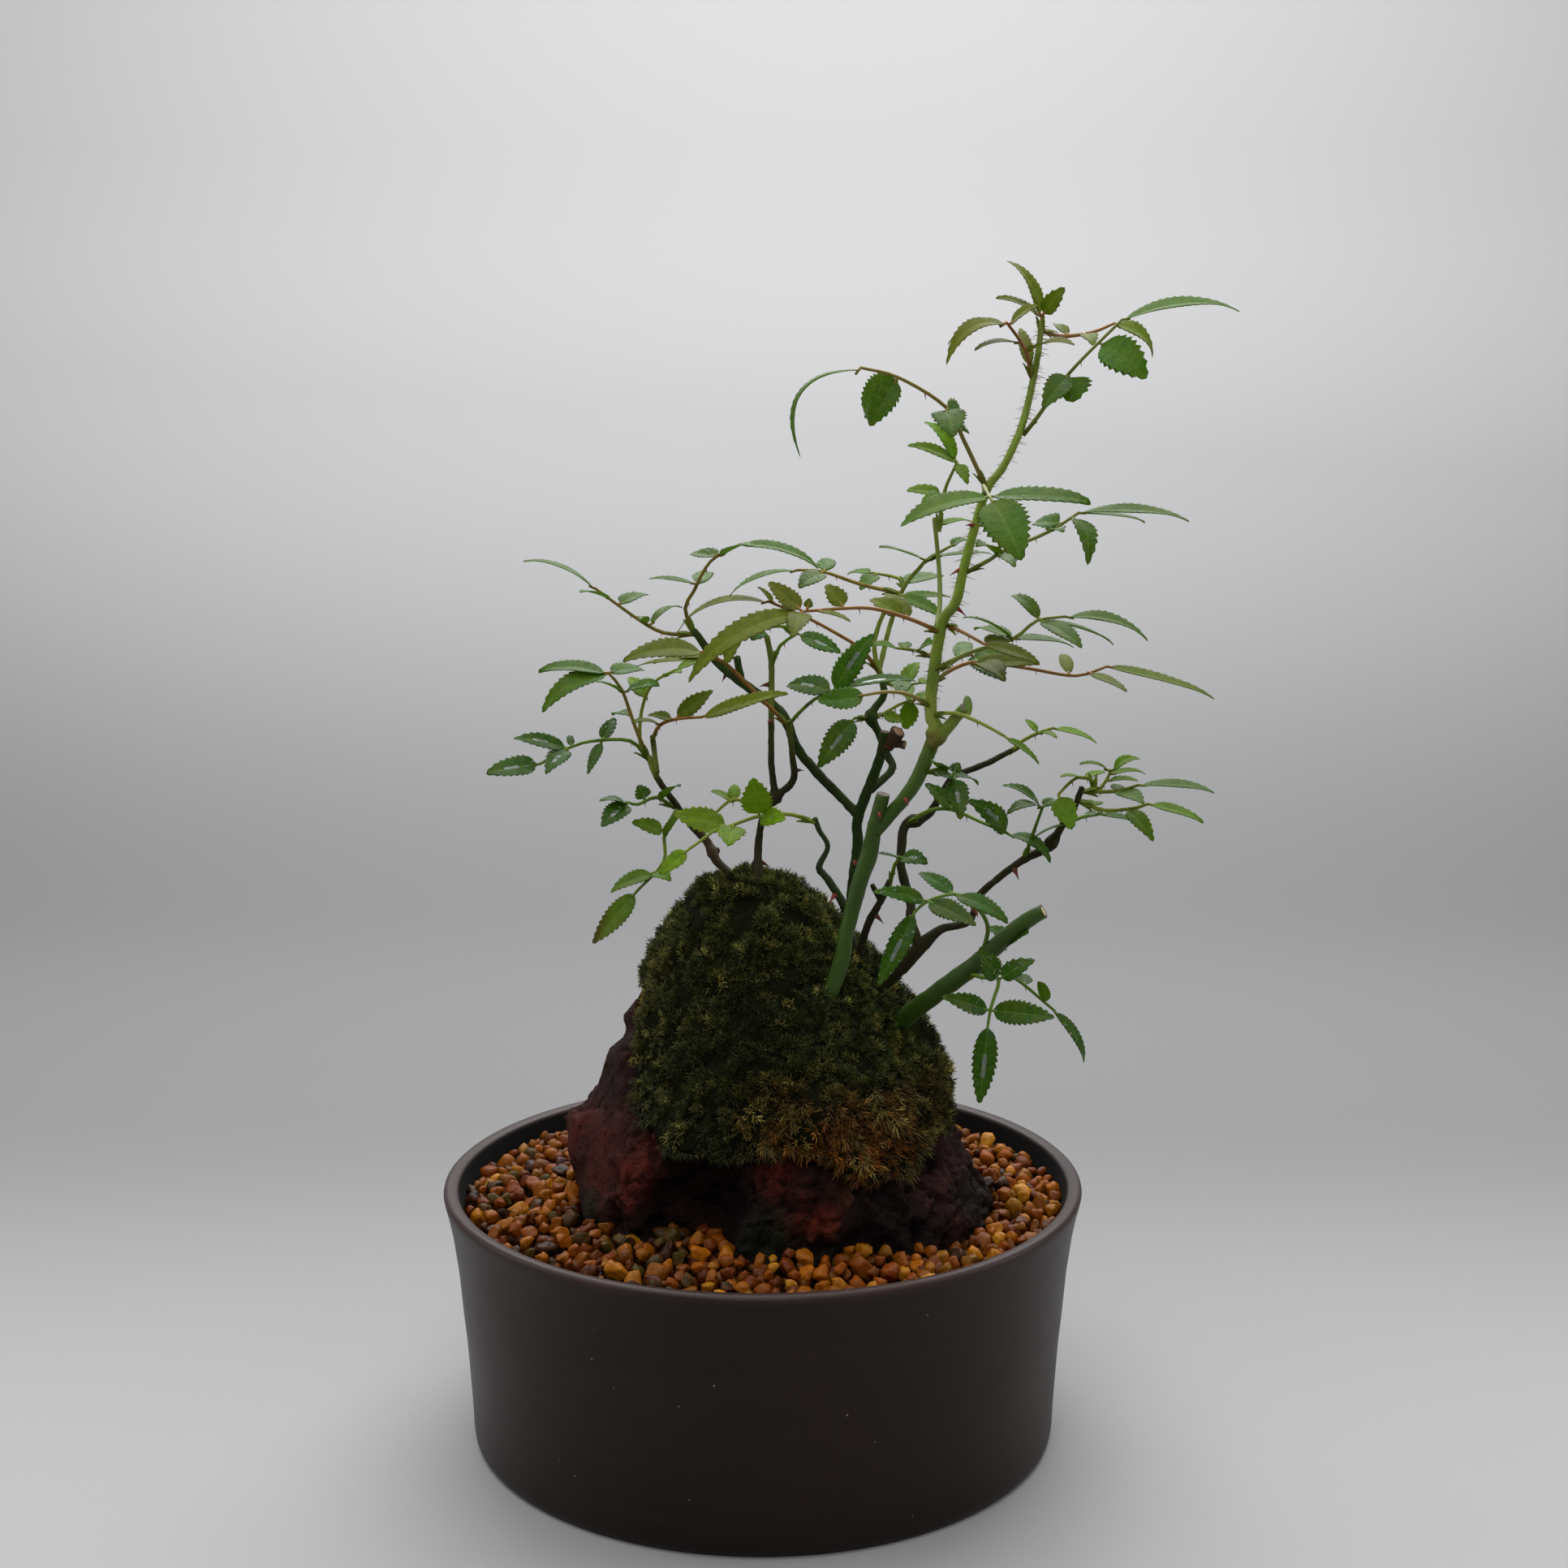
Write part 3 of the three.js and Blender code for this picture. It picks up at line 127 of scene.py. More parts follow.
STIPULE_WIDTH = 1.1
BRISTLES = (176, 258)  # from which height to which on the leader
OLD_STEM_SLIMMER = 0.92
CUT_END_RADIUS = 1.2  # from this radius up an end is cut flat

# Camera, as worked out from the ellipses of the pot's rim and base
CAMERA_PLACE = (7.65, -505.4, 238.8)
CAMERA_PITCH = 80.532
CAMERA_YAW = 0.306
LENS = 51.15


def srgb(red, green, blue):
    """A colour named as it looks on a screen, 0 to 255, as the linear values that shaders take."""
    channels = []
    for value in (red, green, blue):
        share = value / 255
        channels.append(share / 12.92 if share <= 0.04045 else ((share + 0.055) / 1.055) ** 2.4)
    return np.array(channels)


# How a leaf looks: its colour, how wet it is, and the colour of its stalk
LEAF_LOOKS = {
    "fresh": (srgb(116, 156, 26), 0.25, srgb(124, 136, 44)),
    "grey": (srgb(90, 132, 34), 0.6, srgb(112, 122, 44)),
    "wet": (srgb(86, 132, 26), 0.9, srgb(132, 116, 50)),
    "dark": (srgb(58, 106, 24), 0.75, srgb(92, 122, 36)),
    "olive": (srgb(118, 132, 26), 0.35, srgb(138, 98, 44)),
    "red": (srgb(126, 130, 28), 0.3, srgb(146, 96, 48)),
    "yellow": (srgb(134, 174, 22), 0.45, srgb(118, 134, 38)),
    "withered": (srgb(106, 140, 34), 0.4, srgb(100, 122, 42)),
}


# Each stem has a seed for its random draws, and lists of
#   routes: points [x, y, z, radius] of the stem and its branches
#   knobs: knots [x, y, z, size]
#   thorns: large thorns [x, y, z, direction outward]
#   patches: patches of colour on the bark [x, y, z, reach, colour, strength]
#   stubs: routes of short cut ends
#   leaves: [look, points of the stalk, leaflets], where a leaflet is
#   [how far along the stalk, x, y, z of its tip, width, tilt, and how high it arches]

# The tall green leader, with the crown of the plant
LEADER = {
    "seed": 3,
    "routes": [
        [
            [16, -20, 112, 1.9], [18, -20, 118, 1.8], [19, -20, 124, 1.7], [22, -20, 136, 1.8],
            [24, -20, 142, 1.9], [25, -21, 148, 1.7], [27, -22, 156, 1.5]
        ],
        [
            [25, -21, 147, 1.5], [29, -22, 152, 1.5], [34, -23, 159, 1.6], [38, -25, 170, 1.6],
            [37, -26, 174, 1.4], [37, -27, 180, 1.3], [39, -28, 194, 1.2], [42, -28, 199, 1.1],
            [44, -28, 208, 1], [48, -28, 222, 0.9], [52, -27, 228, 0.85], [56, -25, 237, 0.8],
            [59, -22, 250, 0.7], [60, -20, 258, 0.6]
        ],
        [
            [37, -25, 167, 1.4], [41, -27, 172, 1.3], [44, -29, 176, 1.2]
        ],
        [
            [38, -26, 193, 0.6], [39, -20, 198, 0.55], [39, -16, 205, 0.5], [38, -14, 216, 0.5]
        ],
    ],
    "knobs": [[38, -25, 170, 2.2]],
    "thorns": [
        [43.6, -28, 206, -1, 0, -0.3], [41.4, -28, 198, 1, 0, -0.6], [50, -27.5, 225, -1, -0.2, -0.3]
    ],
    "patches": [[37, -26.5, 175, 6, srgb(146, 160, 66), 0.8], [38, -25, 169, 2.4, srgb(104, 84, 34), 0.7]],
    "leaves": [
        ["wet", [[48, -28, 223], [43, -30, 233], [39, -31, 240], [29, -33, 246], [21, -35, 248]], [
            [1, 8, -38, 230, 5, 0, 7], [0.79, 23, -34, 236, 5.5, 75], [0.79, 22, -20, 238, 8, 70],
            [0.48, 40, -40, 234, 7, 70], [0.48, 44, -20, 235, 7.5, 60]
        ]],
        ["fresh", [[39, -14, 213], [40, -12, 221], [43, -11, 228]], [
            [1, 36, -8, 237, 3.5, 30, 2], [1, 32, -16, 232, 4, 40], [1, 45, -16, 223.5, 3, 40],
            [0.52, 32, -10, 222, 4, 35], [0.52, 35, -20, 220, 3, 50],
            [0.1, 47, -8, 215, 3.5, 10]
        ]],
        ["olive", [[60, -20, 255], [60, -20, 259]], [
            [1, 53, -17, 271, 4, 15, 2], [1, 50, -24, 263, 4, 30], [1, 64.5, -22, 265, 4, 60]
        ]],
        ["red", [[58, -23, 245.5], [56.5, -23.5, 251.5], [55, -24, 254], [52, -26, 257.5]], [
            [1, 39, -30, 249, 5, 25, 4], [1, 40, -20, 253.5, 4, 20, 2], [0.6, 45, -30, 252, 4, 10],
            [0.95, 58, -30, 261, 4, 40], [0.45, 65, -36, 253, 5, 25],
            [0.2, 56, -14, 257, 3, 20]
        ]],
        ["olive", [[60, -20, 256], [65, -16, 255], [72, -12, 256], [77, -10, 258]], [
            [1, 86, -8, 251, 6, 30, 2], [0.6, 71, -22, 253, 4, 30],
            [0.4, 64, -8, 258, 2.5, 30]
        ]],
        ["grey", [[56, -25, 234], [59, -26, 238], [63, -27, 244], [67, -28, 249], [76, -28, 258]], [
            [1, 101, -26, 260.5, 6.5, 18, 2.2], [0.79, 81, -32, 246, 9, 60],
            [0.5, 66, -30, 241, 8.5, 80], [0.5, 59, -36, 240, 5.5, 60]
        ]],
        ["grey", [[48, -28, 222], [46, -46, 224], [46, -64, 222]], [
            [1, 51, -75, 211, 9.5, 65], [0.9, 28, -70, 217.5, 6.5, 25],
            [0.9, 65, -68, 222, 6.5, 25, 0.5]
        ]],
        ["grey", [[44, -28, 205], [49, -30, 208], [52, -31, 210], [61, -33, 214], [67, -34, 218]], [
            [1, 90, -36, 217, 5.5, 15, 1.2], [1, 83, -22, 216, 4, 12, 0.3],
            [0.95, 68, -44, 208, 5, -25, 2.5], [0.85, 58, -28, 215.5, 5.5, 40],
            [0.3, 53, -42, 207.5, 4, 40], [0.3, 45, -42, 212, 4, 30],
            [0.75, 63, -40, 214.5, 4, 30]
        ]],
        ["olive", [[39, -28, 192], [33, -31, 195], [24, -36, 198], [16, -40, 198.3], [9, -43, 198]], [
            [1, -15, -46, 184, 6.5, 35, 4], [1, 2, -40, 204, 5, 35, 0], [1, 7, -54, 194, 5, 50],
            [0.72, 14, -36, 203.2, 4.5, 40, 0.3], [0.3, 23.5, -28, 199.5, 5, 35, 0.6],
            [0.9, 19, -46, 196.4, 2.5, 10, 0.3], [0.97, 10.5, -42, 200.7, 2, 50],
            [0.25, 27, -24, 200.5, 4.5, 12, 0.5]
        ]],
        ["grey", [[37, -28, 184], [45, -29, 188], [54, -30, 191], [59, -31, 195], [65, -32, 196]], [
            [1, 82.5, -34, 191.5, 5.5, 15, 2], [0.83, 54, -24, 200, 3.5, 30, 1.5],
            [0.83, 67, -44, 191, 5, 25, 0.5], [0.6, 43, -36, 196.5, 4, 12],
            [0.6, 46.5, -20, 192.5, 4, 15], [0.6, 68, -24, 189, 5, 12, 0.6],
            [0.83, 77, -22, 189.5, 4.5, 10, 0.8]
        ]],
        ["olive", [
            [37, -27, 181], [42, -24, 184], [48, -20, 185], [59, -15, 183], [70, -12, 181],
            [77, -11, 183]
        ], [
            [1, 102, -8, 176, 5.5, 15, 0.5], [0.9, 80, -22, 179, 3.5, 12, 0.2],
            [0.25, 60.5, -24, 185.5, 5.5, 30, 0.3], [0.3, 52, -34, 183, 5.5, 35],
            [0.8, 68, -2, 185, 3, 30]
        ]],
        ["fresh", [[37, -26, 174], [42, -30, 175], [48, -34, 173], [52, -37, 171]], [
            [1, 59, -42, 166, 2.5, 10, 0.5], [0.5, 45, -22, 178, 2, 30]
        ]],
        ["wet", [[37, -27, 176], [32, -30, 179], [27, -33, 180], [22.7, -35, 179.6]], [
            [1, 12.3, -38, 178.8, 5.5, 50, -0.8], [0.5, 31, -22, 181, 4, 40]
        ]],
        ["wet", [[39.3, -25, 183.9], [43.7, -18, 185.7], [46.6, -12, 185.7]], [
            [1, 57.8, -8, 183.7, 4.5, 35, 0.6],
            [0.5, 46.4, -6, 188.2, 4, 35, 0.4],
            [1, 53, -24, 181.5, 6, 50, 0.4]
        ]],
        ["olive", [[39.9, -27, 193.9], [43.7, -32, 192.4], [47.1, -36, 190.7]], [
            [1, 54.2, -30, 190.7, 4, 30, 0.5],
            [1, 58.4, -44, 187.5, 4, 30, 0.5]
        ]],
        ["dark", [[36, -24, 161], [39, -26, 162], [42, -29, 161]], [
            [1, 43, -36, 153, 5, 70], [0.6, 37, -34, 165, 4, 30], [0.9, 48, -20, 158, 3.5, 25],
            [0.95, 37.3, -34, 162.4, 4, 45], [0.95, 43, -28, 164, 3, 25]
        ]],
    ],
}

# The old dark stem in the middle, cut back, with thin shoots and a limb to the left
OLD_CENTRE = {
    "seed": 5,
    "routes": [
        [
            [20, 2, 121, 1.2], [21, 2, 132, 1.25], [22, 2, 140, 1.3], [22, 2, 146, 1.35],
            [25, 0, 155, 1.3], [27, -1, 161, 1.3], [28, -2, 167, 1.2]
        ],
        [
            [25, 1, 153, 1.1], [30, 6, 157, 1], [29, 9, 160, 1], [27, 11, 165, 1],
            [25.2, 11, 168.3, 1.1], [26.5, 12, 171, 0.95], [28.3, 12, 174, 0.9], [27, 12, 180, 0.7]
        ],
        [
            [22, 2, 147, 1.3], [19, 3, 150, 1.2], [12, 5, 157, 1.2], [8, 6, 162, 1.2],
            [5, 7, 169, 1.3], [2, 8, 172, 1.3], [-5, 9, 177, 1.2], [-11, 10, 182, 1.1],
            [-16, 10, 189, 0.9]
        ],
        [
            [-5, 9, 177, 1], [-6, 8, 183, 0.9]
        ],
        [
            [27, 12, 179, 0.7], [26, 14, 186, 0.6], [29, 16, 194, 0.55], [32, 17, 197, 0.5]
        ],
        [
            [27, 12, 179, 0.7], [30, 18, 190, 0.6], [33, 20, 198, 0.55], [38, 22, 204, 0.5]
        ],
    ],
    "knobs": [[24.7, 11, 168.5, 1.9]],
    "stubs": [
        [[28.8, -1.4, 163, 1.2], [29.6, -2.2, 164.8, 1.6], [31, -3.6, 167.4, 1.65]],
        [[29.6, -2, 164.4, 1.0], [32.4, -3.4, 164.2, 1.05]]
    ],
    "leaves": [
        ["wet", [[-16, 10, 188], [-23, 9, 188.5], [-29, 7, 192], [-38, 4, 199]], [
            [1, -54, 1, 206, 4, 8, 1.6], [0.85, -40.5, -8, 199.7, 3.5, 12, 0.3],
            [0.76, -26.7, 12, 197.3, 5, 15, 0.6], [0.45, -27.5, -4, 193, 2.5, 15],
            [0.42, -19, 16, 194, 3, -5, 1.5]
        ]],
        ["wet", [[-16, 10, 188], [-18, 10, 194], [-16, 10, 198], [-12, 9, 205], [-5, 8, 209]], [
            [1, 13, 6, 204, 5, 20, 1.8], [0.8, -17, 14, 206.5, 4.5, 30, 0.2],
            [0.8, -2, -2, 209.5, 4.5, 15, 0.8], [0.47, -26, 6, 201.5, 3, 15, 0.4],
            [0.47, -12.7, 20, 202, 4.5, 25, 0.5]
        ]],
        ["wet", [[32, 17, 197], [23, 18, 199], [14, 18, 202], [8, 16, 202.5]], [
            [1, -8, 12, 197.2, 4, 6, 1.6], [0.745, 8.4, 8, 199.3, 5, 45, 0.3],
            [0.745, 15.7, 26, 204.7, 4.5, 30, 0.3]
        ]],
        ["grey", [[38, 22, 204], [41, 22, 206], [43.5, 21, 207.5]], [
            [1, 48, 22, 209.3, 4, 15, 0.6], [0.3, 54, 24, 206.2, 3, 8, 0.3],
            [0.1, 27.2, 18, 208.2, 3, 10, 0.3]
        ]],
        ["grey", [[33, 20, 198], [32, 24, 200], [26, 28, 201]], [
            [1, 20, 32, 200.6, 4, 15, 0.4], [0.9, 23, 22, 197.5, 4.5, 20],
            [0.2, 43.3, 34, 200.3, 5, 25, 0.3]
        ]],
        ["fresh", [[25.2, 11, 168.3], [28, 14, 168.8], [32, 17, 170.7], [35.5, 18, 171.7]], [
            [1, 40, 20, 172.5, 4, 15], [0.25, 33, 14, 167, 4, 35], [1, 33.7, 22, 164, 4.5, 60]
        ]],
        ["fresh", [[27, 12, 177], [32, 18, 175], [37, 24, 175]], [
            [1, 41, 28, 174.5, 4, 20], [0.6, 34, 8, 173, 4, 20], [0.6, 37, 26, 180, 4, 30]
        ]],
        ["olive", [
            [27, 12, 179], [23.5, 10, 184], [20.6, 8, 186.4], [10.7, 10, 191.7], [1.3, 12, 195.5]
        ], [
            [1, -20.3, 14, 188.7, 4.5, 12, 3.5], [0.95, -1.2, 12, 199, 2, 20]
        ]],
        ["grey", [[29.8, 13, 195.3], [30.9, 10, 196.4], [31.8, 8, 197.3]], [
            [1, 41.4, 2, 193, 4, 40, 0.5],
            [1, 44, 14, 196.6, 3, 25, 0.3]
        ]],
        ["grey", [[39.2, 8, 182.9], [35.7, 6, 184.6], [31.3, 4, 185.4]], [
            [1, 25.3, -2, 187, 3.5, 30, 0.4],
            [0.5, 38.8, 0, 187.3, 4.5, 45, 0.4],
            [0.8, 32.6, 12, 186.1, 3, 20, 0.3]
        ]],
        ["dark", [[25, 11, 168.3], [23.4, 10, 168.5], [21.3, 9, 168.6]], [
            [1, 12.9, 2, 158.1, 6.3, 70]
        ]],
    ],
}

# The slim stem left of the middle, forked, with a young shoot
LEFT_CENTRE = {
    "seed": 9,
    "routes": [
        [
            [-1, -5, 129, 1.3], [-1, -3, 133, 1.2], [-1, 1, 140, 0.95], [0, 2, 146, 0.9],
            [3, 2, 151, 0.95], [7, 1, 155, 0.9], [7, 0, 160, 0.8], [6, 0, 169, 0.7]
        ],
        [
            [3, 2, 151, 0.9], [2, 2, 159, 0.8], [2, 3, 165, 0.8], [2, 4, 172, 0.75],
            [2, 5, 182, 0.75], [1, 6, 188, 0.7]
        ],
    ],
    "knobs": [[3, 2, 151, 1.7]],
    "leaves": [
        ["dark", [[6, 0, 168], [8, -3, 171], [12, -6, 175], [16, -8, 177]], [
            [1, 25, -8, 190, 6, 60], [1, 34, -16, 180.8, 5, 20, 1], [1, 5.5, -2, 177.8, 6, 45, 0.8]
        ]],
        ["dark", [[2, 5, 181], [4, 4, 186], [8, 2, 189]], [
            [1, 18, 0, 185, 5, 38, 0]
        ]],
        ["dark", [[7.2, 2.4, 188.4], [5.7, 3, 190.4], [1.9, 4, 190.4], [-2, 5, 189]], [
            [1, -9.3, 4, 188.6, 3.5, 15, 0.3], [0.75, -2.6, 1, 187.8, 4.5, 50],
            [1, -4, 8, 192.3, 3, 20]
        ]],
        ["fresh", [[0.5, 2, 147.5], [-4, 2, 150.3], [-8, 3, 149.8], [-11, 3, 147]], [
            [1, -12.5, 2, 145.5, 2, 20], [0.6, -12, 6, 152, 2.5, 15], [0.6, -6.5, 8, 153.2, 3, 30]
        ]],
        ["olive", [
            [6, 0, 168], [0.8, -1, 173.4], [-4.7, -4, 179.4], [-7.4, -6, 182.4],
            [-10.4, -8, 184.6], [-12.8, -10, 186.1]
        ], [
            [1, -30.6, -16, 185, 6.5, 35, 1.8], [0.8, -4.8, -10, 188.4, 5, 45, 0.5],
            [0.9, -25, 2, 182.6, 4, 12, 0.3], [0.85, -28.5, -4, 182.7, 4, 10, 0.3]
        ]],
    ],
}

# The knotty stem on the far left
FAR_LEFT = {
    "seed": 12,
    "routes": [
        [
            [-5, 1, 131, 1.2], [-10, 5, 134.5, 1.1], [-13, 9, 139, 1.1], [-17, 10, 143, 0.9],
            [-20, 11, 147, 0.85], [-25, 12, 154, 0.8], [-27, 13, 159, 0.8]
        ],
        [
            [-25, 12, 155, 0.7], [-26, 12, 164, 0.7]
        ],
    ],
    "knobs": [[-11, 8, 137, 1.8]],
    "patches": [[-12, 8, 137, 7, srgb(62, 44, 30), 0.8], [-27, 13, 158, 5, srgb(120, 134, 56), 0.8]],
    "leaves": [
        ["wet", [[-27, 13, 158], [-30, 12, 166], [-33, 11, 175], [-36, 10, 179]], [
            [1, -52, 8, 180, 5.5, 22, 1.2], [1, -51, 4, 171, 6, 35, 3],
            [1, -28, 16, 179.2, 5.5, 25, 0.6], [0.75, -24, 6, 177, 5, 25],
            [0.75, -38, 2, 178.2, 4, 20, 0.3], [0.5, -36, 20, 168, 3.5, 20]
        ]],
        ["fresh", [
            [-27, 13, 158.5], [-29, 13, 162.5], [-28.5, 13, 170], [-26, 14, 176], [-21, 15, 179]
        ], [
            [1, -12, 16, 181.8, 4, 15, 0.6], [0.9, -19, 8, 179.5, 4, 15, 0.3],
            [0.6, -32, 20, 177, 4, 25]
        ]],
        ["dark", [[-27, 13, 158], [-31, 10, 163], [-40, 6, 163.5], [-45, 3, 162.3]], [
            [1, -57, 0, 165.3, 5, 35, 0.6], [1, -49, -6, 158, 5, 40],
            [0.62, -34.8, 14, 168, 3.5, 40, 0.5], [0.62, -40, -2, 157.3, 2.6, 60, 0.3],
            [0.95, -45.2, 8, 164.8, 1.8, 40]
        ]],
        ["dark", [[-45, 3, 162.3], [-48, 1, 160.7], [-51, -1, 159.3]], [
            [1, -63, -4, 157.8, 6, 42, 0.2]
        ]],
        ["olive", [[-26, 12, 163], [-24, 8, 167], [-20, 4, 169], [-14, 0, 170]], [
            [1, 5.5, -13, 177.6, 5, 40, 0.4], [0.6, -11.5, 4, 175.8, 4.5, 50, 0.2],
            [0.35, -30, 2, 168.7, 3.5, 15], [0.6, -26.5, 4, 170, 3.5, 25]
        ]],
        ["dark", [[-21, 11, 147], [-25, 8, 150], [-29, 4, 149], [-31, 1, 150]], [
            [1, -37.3, -3, 151.2, 4.5, 10, 0.4], [1, -36.3, -8, 146.2, 5.5, 45, 0.3],
            [0.6, -29, 6, 153.3, 4, 40], [0.3, -19, 2, 154, 4, 8]
        ]],
        ["withered", [[-20, 11, 147], [-23, 6, 142], [-23, 1, 136], [-29, -4, 130]], [
            [1, -38.8, -9, 119, 5, 70, 0], [0.28, -30.2, 2, 145.3, 4.3, 50, 0],
            [0.75, -35, -4, 130, 5, 25], [0.75, -20.8, -10, 134.2, 4, 50],
            [0.35, -17, -4, 149, 4, 20]
        ]],
    ],
}

# The curly twig in front of the middle stems
CURLY_TWIG = {
    "seed": 15,
    "routes": [
        [
            [20, -2.5, 121.5, 1], [19, -3, 126, 1], [15, -4, 133, 0.9], [13, -5, 136, 0.8],
            [15, -6, 141, 0.6], [13, -7, 145, 0.6], [12, -8, 148, 0.6]
        ],
    ],
    "knobs": [],
    "leaves": [
        ["yellow", [
            [12, -8, 147], [7, -9, 149], [0, -10, 149], [-7, -12, 147], [-11, -14, 146],
            [-13.5, -14, 144], [-16.3, -15, 142.2]
        ], [
            [1, -23, -17, 136.9, 4, 45, 0], [0.66, -19.8, -11, 149.7, 6, 60, 0],
            [0.62, -7.5, -20, 144.3, 6.5, 60, 0], [0.42, -2, -14, 158, 7, 70, 0],
            [0.42, 5.2, -16, 149.3, 5, 60, 0]
        ]],
    ],
}

# The short brown twig beside it
SHORT_TWIG = {
    "seed": 18,
    "routes": [
        [
            [23, -6, 118, 0.95], [24, -7, 122.5, 0.95], [27, -9, 129, 0.9], [29, -10, 134, 0.7]
        ],
        [
            [27, -9, 129, 0.7], [25, -10, 133, 0.6]
        ],
    ],
    "knobs": [],
    "leaves": [
        ["dark", [[29, -10, 133], [30, -12, 138], [31, -13, 140]], [
            [1, 37.1, -18, 139.8, 4.5, 45, 0.8], [1, 26.3, -18, 142.1, 2, 20, 0]
        ]],
    ],
}

# The forked stem on the right, one limb upright and old, one low and dark
RIGHT_FORK = {
    "seed": 21,
    "routes": [
        [
            [29, -6, 110, 2], [32, -8, 113.5, 1.9], [34, -9, 116, 1.8], [37, -10, 119.5, 1.7],
            [41, -11, 123, 1.1], [47, -12, 125, 0.9], [49, -13, 131, 0.9], [54, -14, 136, 0.9],
            [59, -15, 140, 0.95], [64, -16, 143, 1.1], [67, -17, 148, 0.9], [69, -18, 151, 0.8],
            [71, -19, 157, 0.7]
        ],
        [
            [36, -10, 118.5, 1.4], [34, -8, 124, 1.2], [34, -6, 128, 1.15], [32, -4, 135, 1.1],
            [32, -2, 140, 1.1], [33, 0, 145, 1.2], [38, 1, 147, 1], [42, 2, 153, 0.95],
            [44, 2, 156, 0.9], [47, 3, 157, 0.8], [52, 3, 159, 0.75], [58, 4, 162, 0.7]
        ],
    ],
    "knobs": [[35, 0, 146, 1.9], [65, -16, 144, 1.9]],
    "leaves": [
        ["dark", [[33, 0, 145], [38, -4, 149], [43, -8, 150], [49, -12, 148], [55, -16, 146]], [
            [1, 64.4, -20, 140.5, 4, 20, 2], [1, 45.8, -20, 154.4, 5.5, 55, 2],
            [0.5, 37.1, -6, 155.8, 4, 35, 0.5]
        ]],
        ["fresh", [[57, 4, 161], [60, 4, 164], [64, 4, 166], [67, 4, 167]], [
            [1, 77, 2, 164, 4, 10, 0.6], [0.7, 67, -4, 166, 2.5, 20],
            [0.7, 61, 8, 168.5, 2, 20]
        ]],
        ["dark", [[59, -15, 140], [60, -18, 145], [62, -22, 153]], [
            [1, 53, -24, 158.5, 4, 20, 1.2], [1, 53.3, -32, 153.7, 3.5, 25, 1.5],
            [1, 64.9, -18, 154.4, 2.5, 30, 0.3], [0.4, 66.2, -24, 149.7, 2, 20, 0.3]
        ]],
        ["fresh", [
            [73.6, -19, 156], [73.6, -19, 157.9], [72.3, -19, 159.1], [69.9, -20, 159.4],
            [67.4, -22, 158.1], [65.2, -24, 156.2]
        ], [
            [1, 67.6, -30, 149.7, 5.5, 60, 0], [0.37, 65.3, -26, 160.7, 2.5, 15, 0.3],
            [0.34, 77, -12, 159.5, 2.5, 15, 0.3]
        ]],
        ["fresh", [[71, -19, 156], [75, -20, 157], [77, -21, 161]], [
            [1, 83.1, -22, 164, 3.5, 25, 1.2], [1, 69.7, -24, 163.2, 2.5, 15, 0.8],
            [0.9, 85.4, -16, 159.8, 2.5, 12, 0.8], [0.7, 82.2, -26, 159.8, 3, 20, 0.4]
        ]],
        ["grey", [[71, -19, 156], [78, -24, 157], [82, -28, 159]], [
            [1, 97.9, -32, 158.4, 5, 10, 0.8], [0.6, 81.9, -36, 156.6, 4.5, 40, 0.5],
            [0.6, 78.9, -18, 157.7, 3, 40, 0]
        ]],
        ["fresh", [[70, -18, 154], [76, -20, 152], [83, -22, 153], [85, -23, 154]], [
            [1, 96.9, -26, 150.7, 4.5, 14, 0.5], [0.7, 85.3, -30, 147.2, 4, 50, 1],
            [0.25, 74.9, -12, 152.7, 3.5, 30, 0.3]
        ]],
        ["dark", [[67, -17, 148], [72, -12, 149], [77, -8, 149]], [
            [1, 87.6, -4, 145.6, 4, 14, 0.5], [0.6, 77.5, -6, 149.3, 2.5, 10, 0.3]
        ]],
    ],
}

# The thick green cane cut short on the right
LOW_CANE = {
    "seed": 24,
    "routes": [
        [
            [32, -13, 102, 2.4], [35, -17, 106, 2.2], [38, -21, 109.5, 2.1], [42, -25, 114, 2.1],
            [47, -29, 119, 2.1], [53, -33, 126, 1.9], [58, -36, 131, 1.7], [61, -37, 133, 1.6]
        ],
    ],
    "knobs": [],
    "leaves": [
        ["dark", [
            [48, -30, 120.5], [49.4, -33, 127.4], [48.1, -36, 131.9], [44.7, -38, 135.8],
            [41.4, -39, 137.2], [35.8, -41, 136.1], [33.1, -42, 134]
        ], [
            [1, 25.1, -46, 118.7, 4.8, 75, 1], [0.89, 24.1, -44, 138.9, 4, 45, 0.8],
            [0.89, 45.1, -52, 133.6, 5, 50, 0.3], [0.69, 34.3, -32, 140.6, 4, 35, 0.5],
            [0.69, 52.3, -48, 133.4, 4.5, 35, 1]
        ]],
        ["dark", [
            [45, -27, 117], [48.3, -34, 117.6], [51.4, -39, 118.5], [50.3, -42, 115.6],
            [49.3, -43, 112.7], [48.8, -44, 109.9]
        ], [
            [1, 46.9, -47, 93.1, 5.3, 85, 0.8], [0.88, 38.8, -48, 117, 4.5, 55, 0.2],
            [0.88, 62.1, -50, 113.1, 5.5, 60, 0.2], [0.57, 46.8, -44, 125.8, 5, 60, 0.2],
            [0.57, 59, -40, 123.1, 4.5, 45, 0.6]
        ]],
        ["dark", [[45, -27, 117], [53, -28, 117], [57, -27, 115], [65, -26, 108]], [
            [1, 72.5, -24, 95.4, 3.5, 25, 1.4], [0.62, 58.7, -20, 115, 3.5, 40, 0],
            [0.88, 60.6, -36, 117.5, 3, 30, 0.5]
        ]],
        ["dark", [[50, -31, 122.5], [54, -30, 124], [55, -29, 125]], [
            [1, 49.8, -26, 127.1, 3.5, 30, 0.3], [0.8, 57.5, -38, 128.7, 5, 50, 0.3]
        ]],
    ],
}
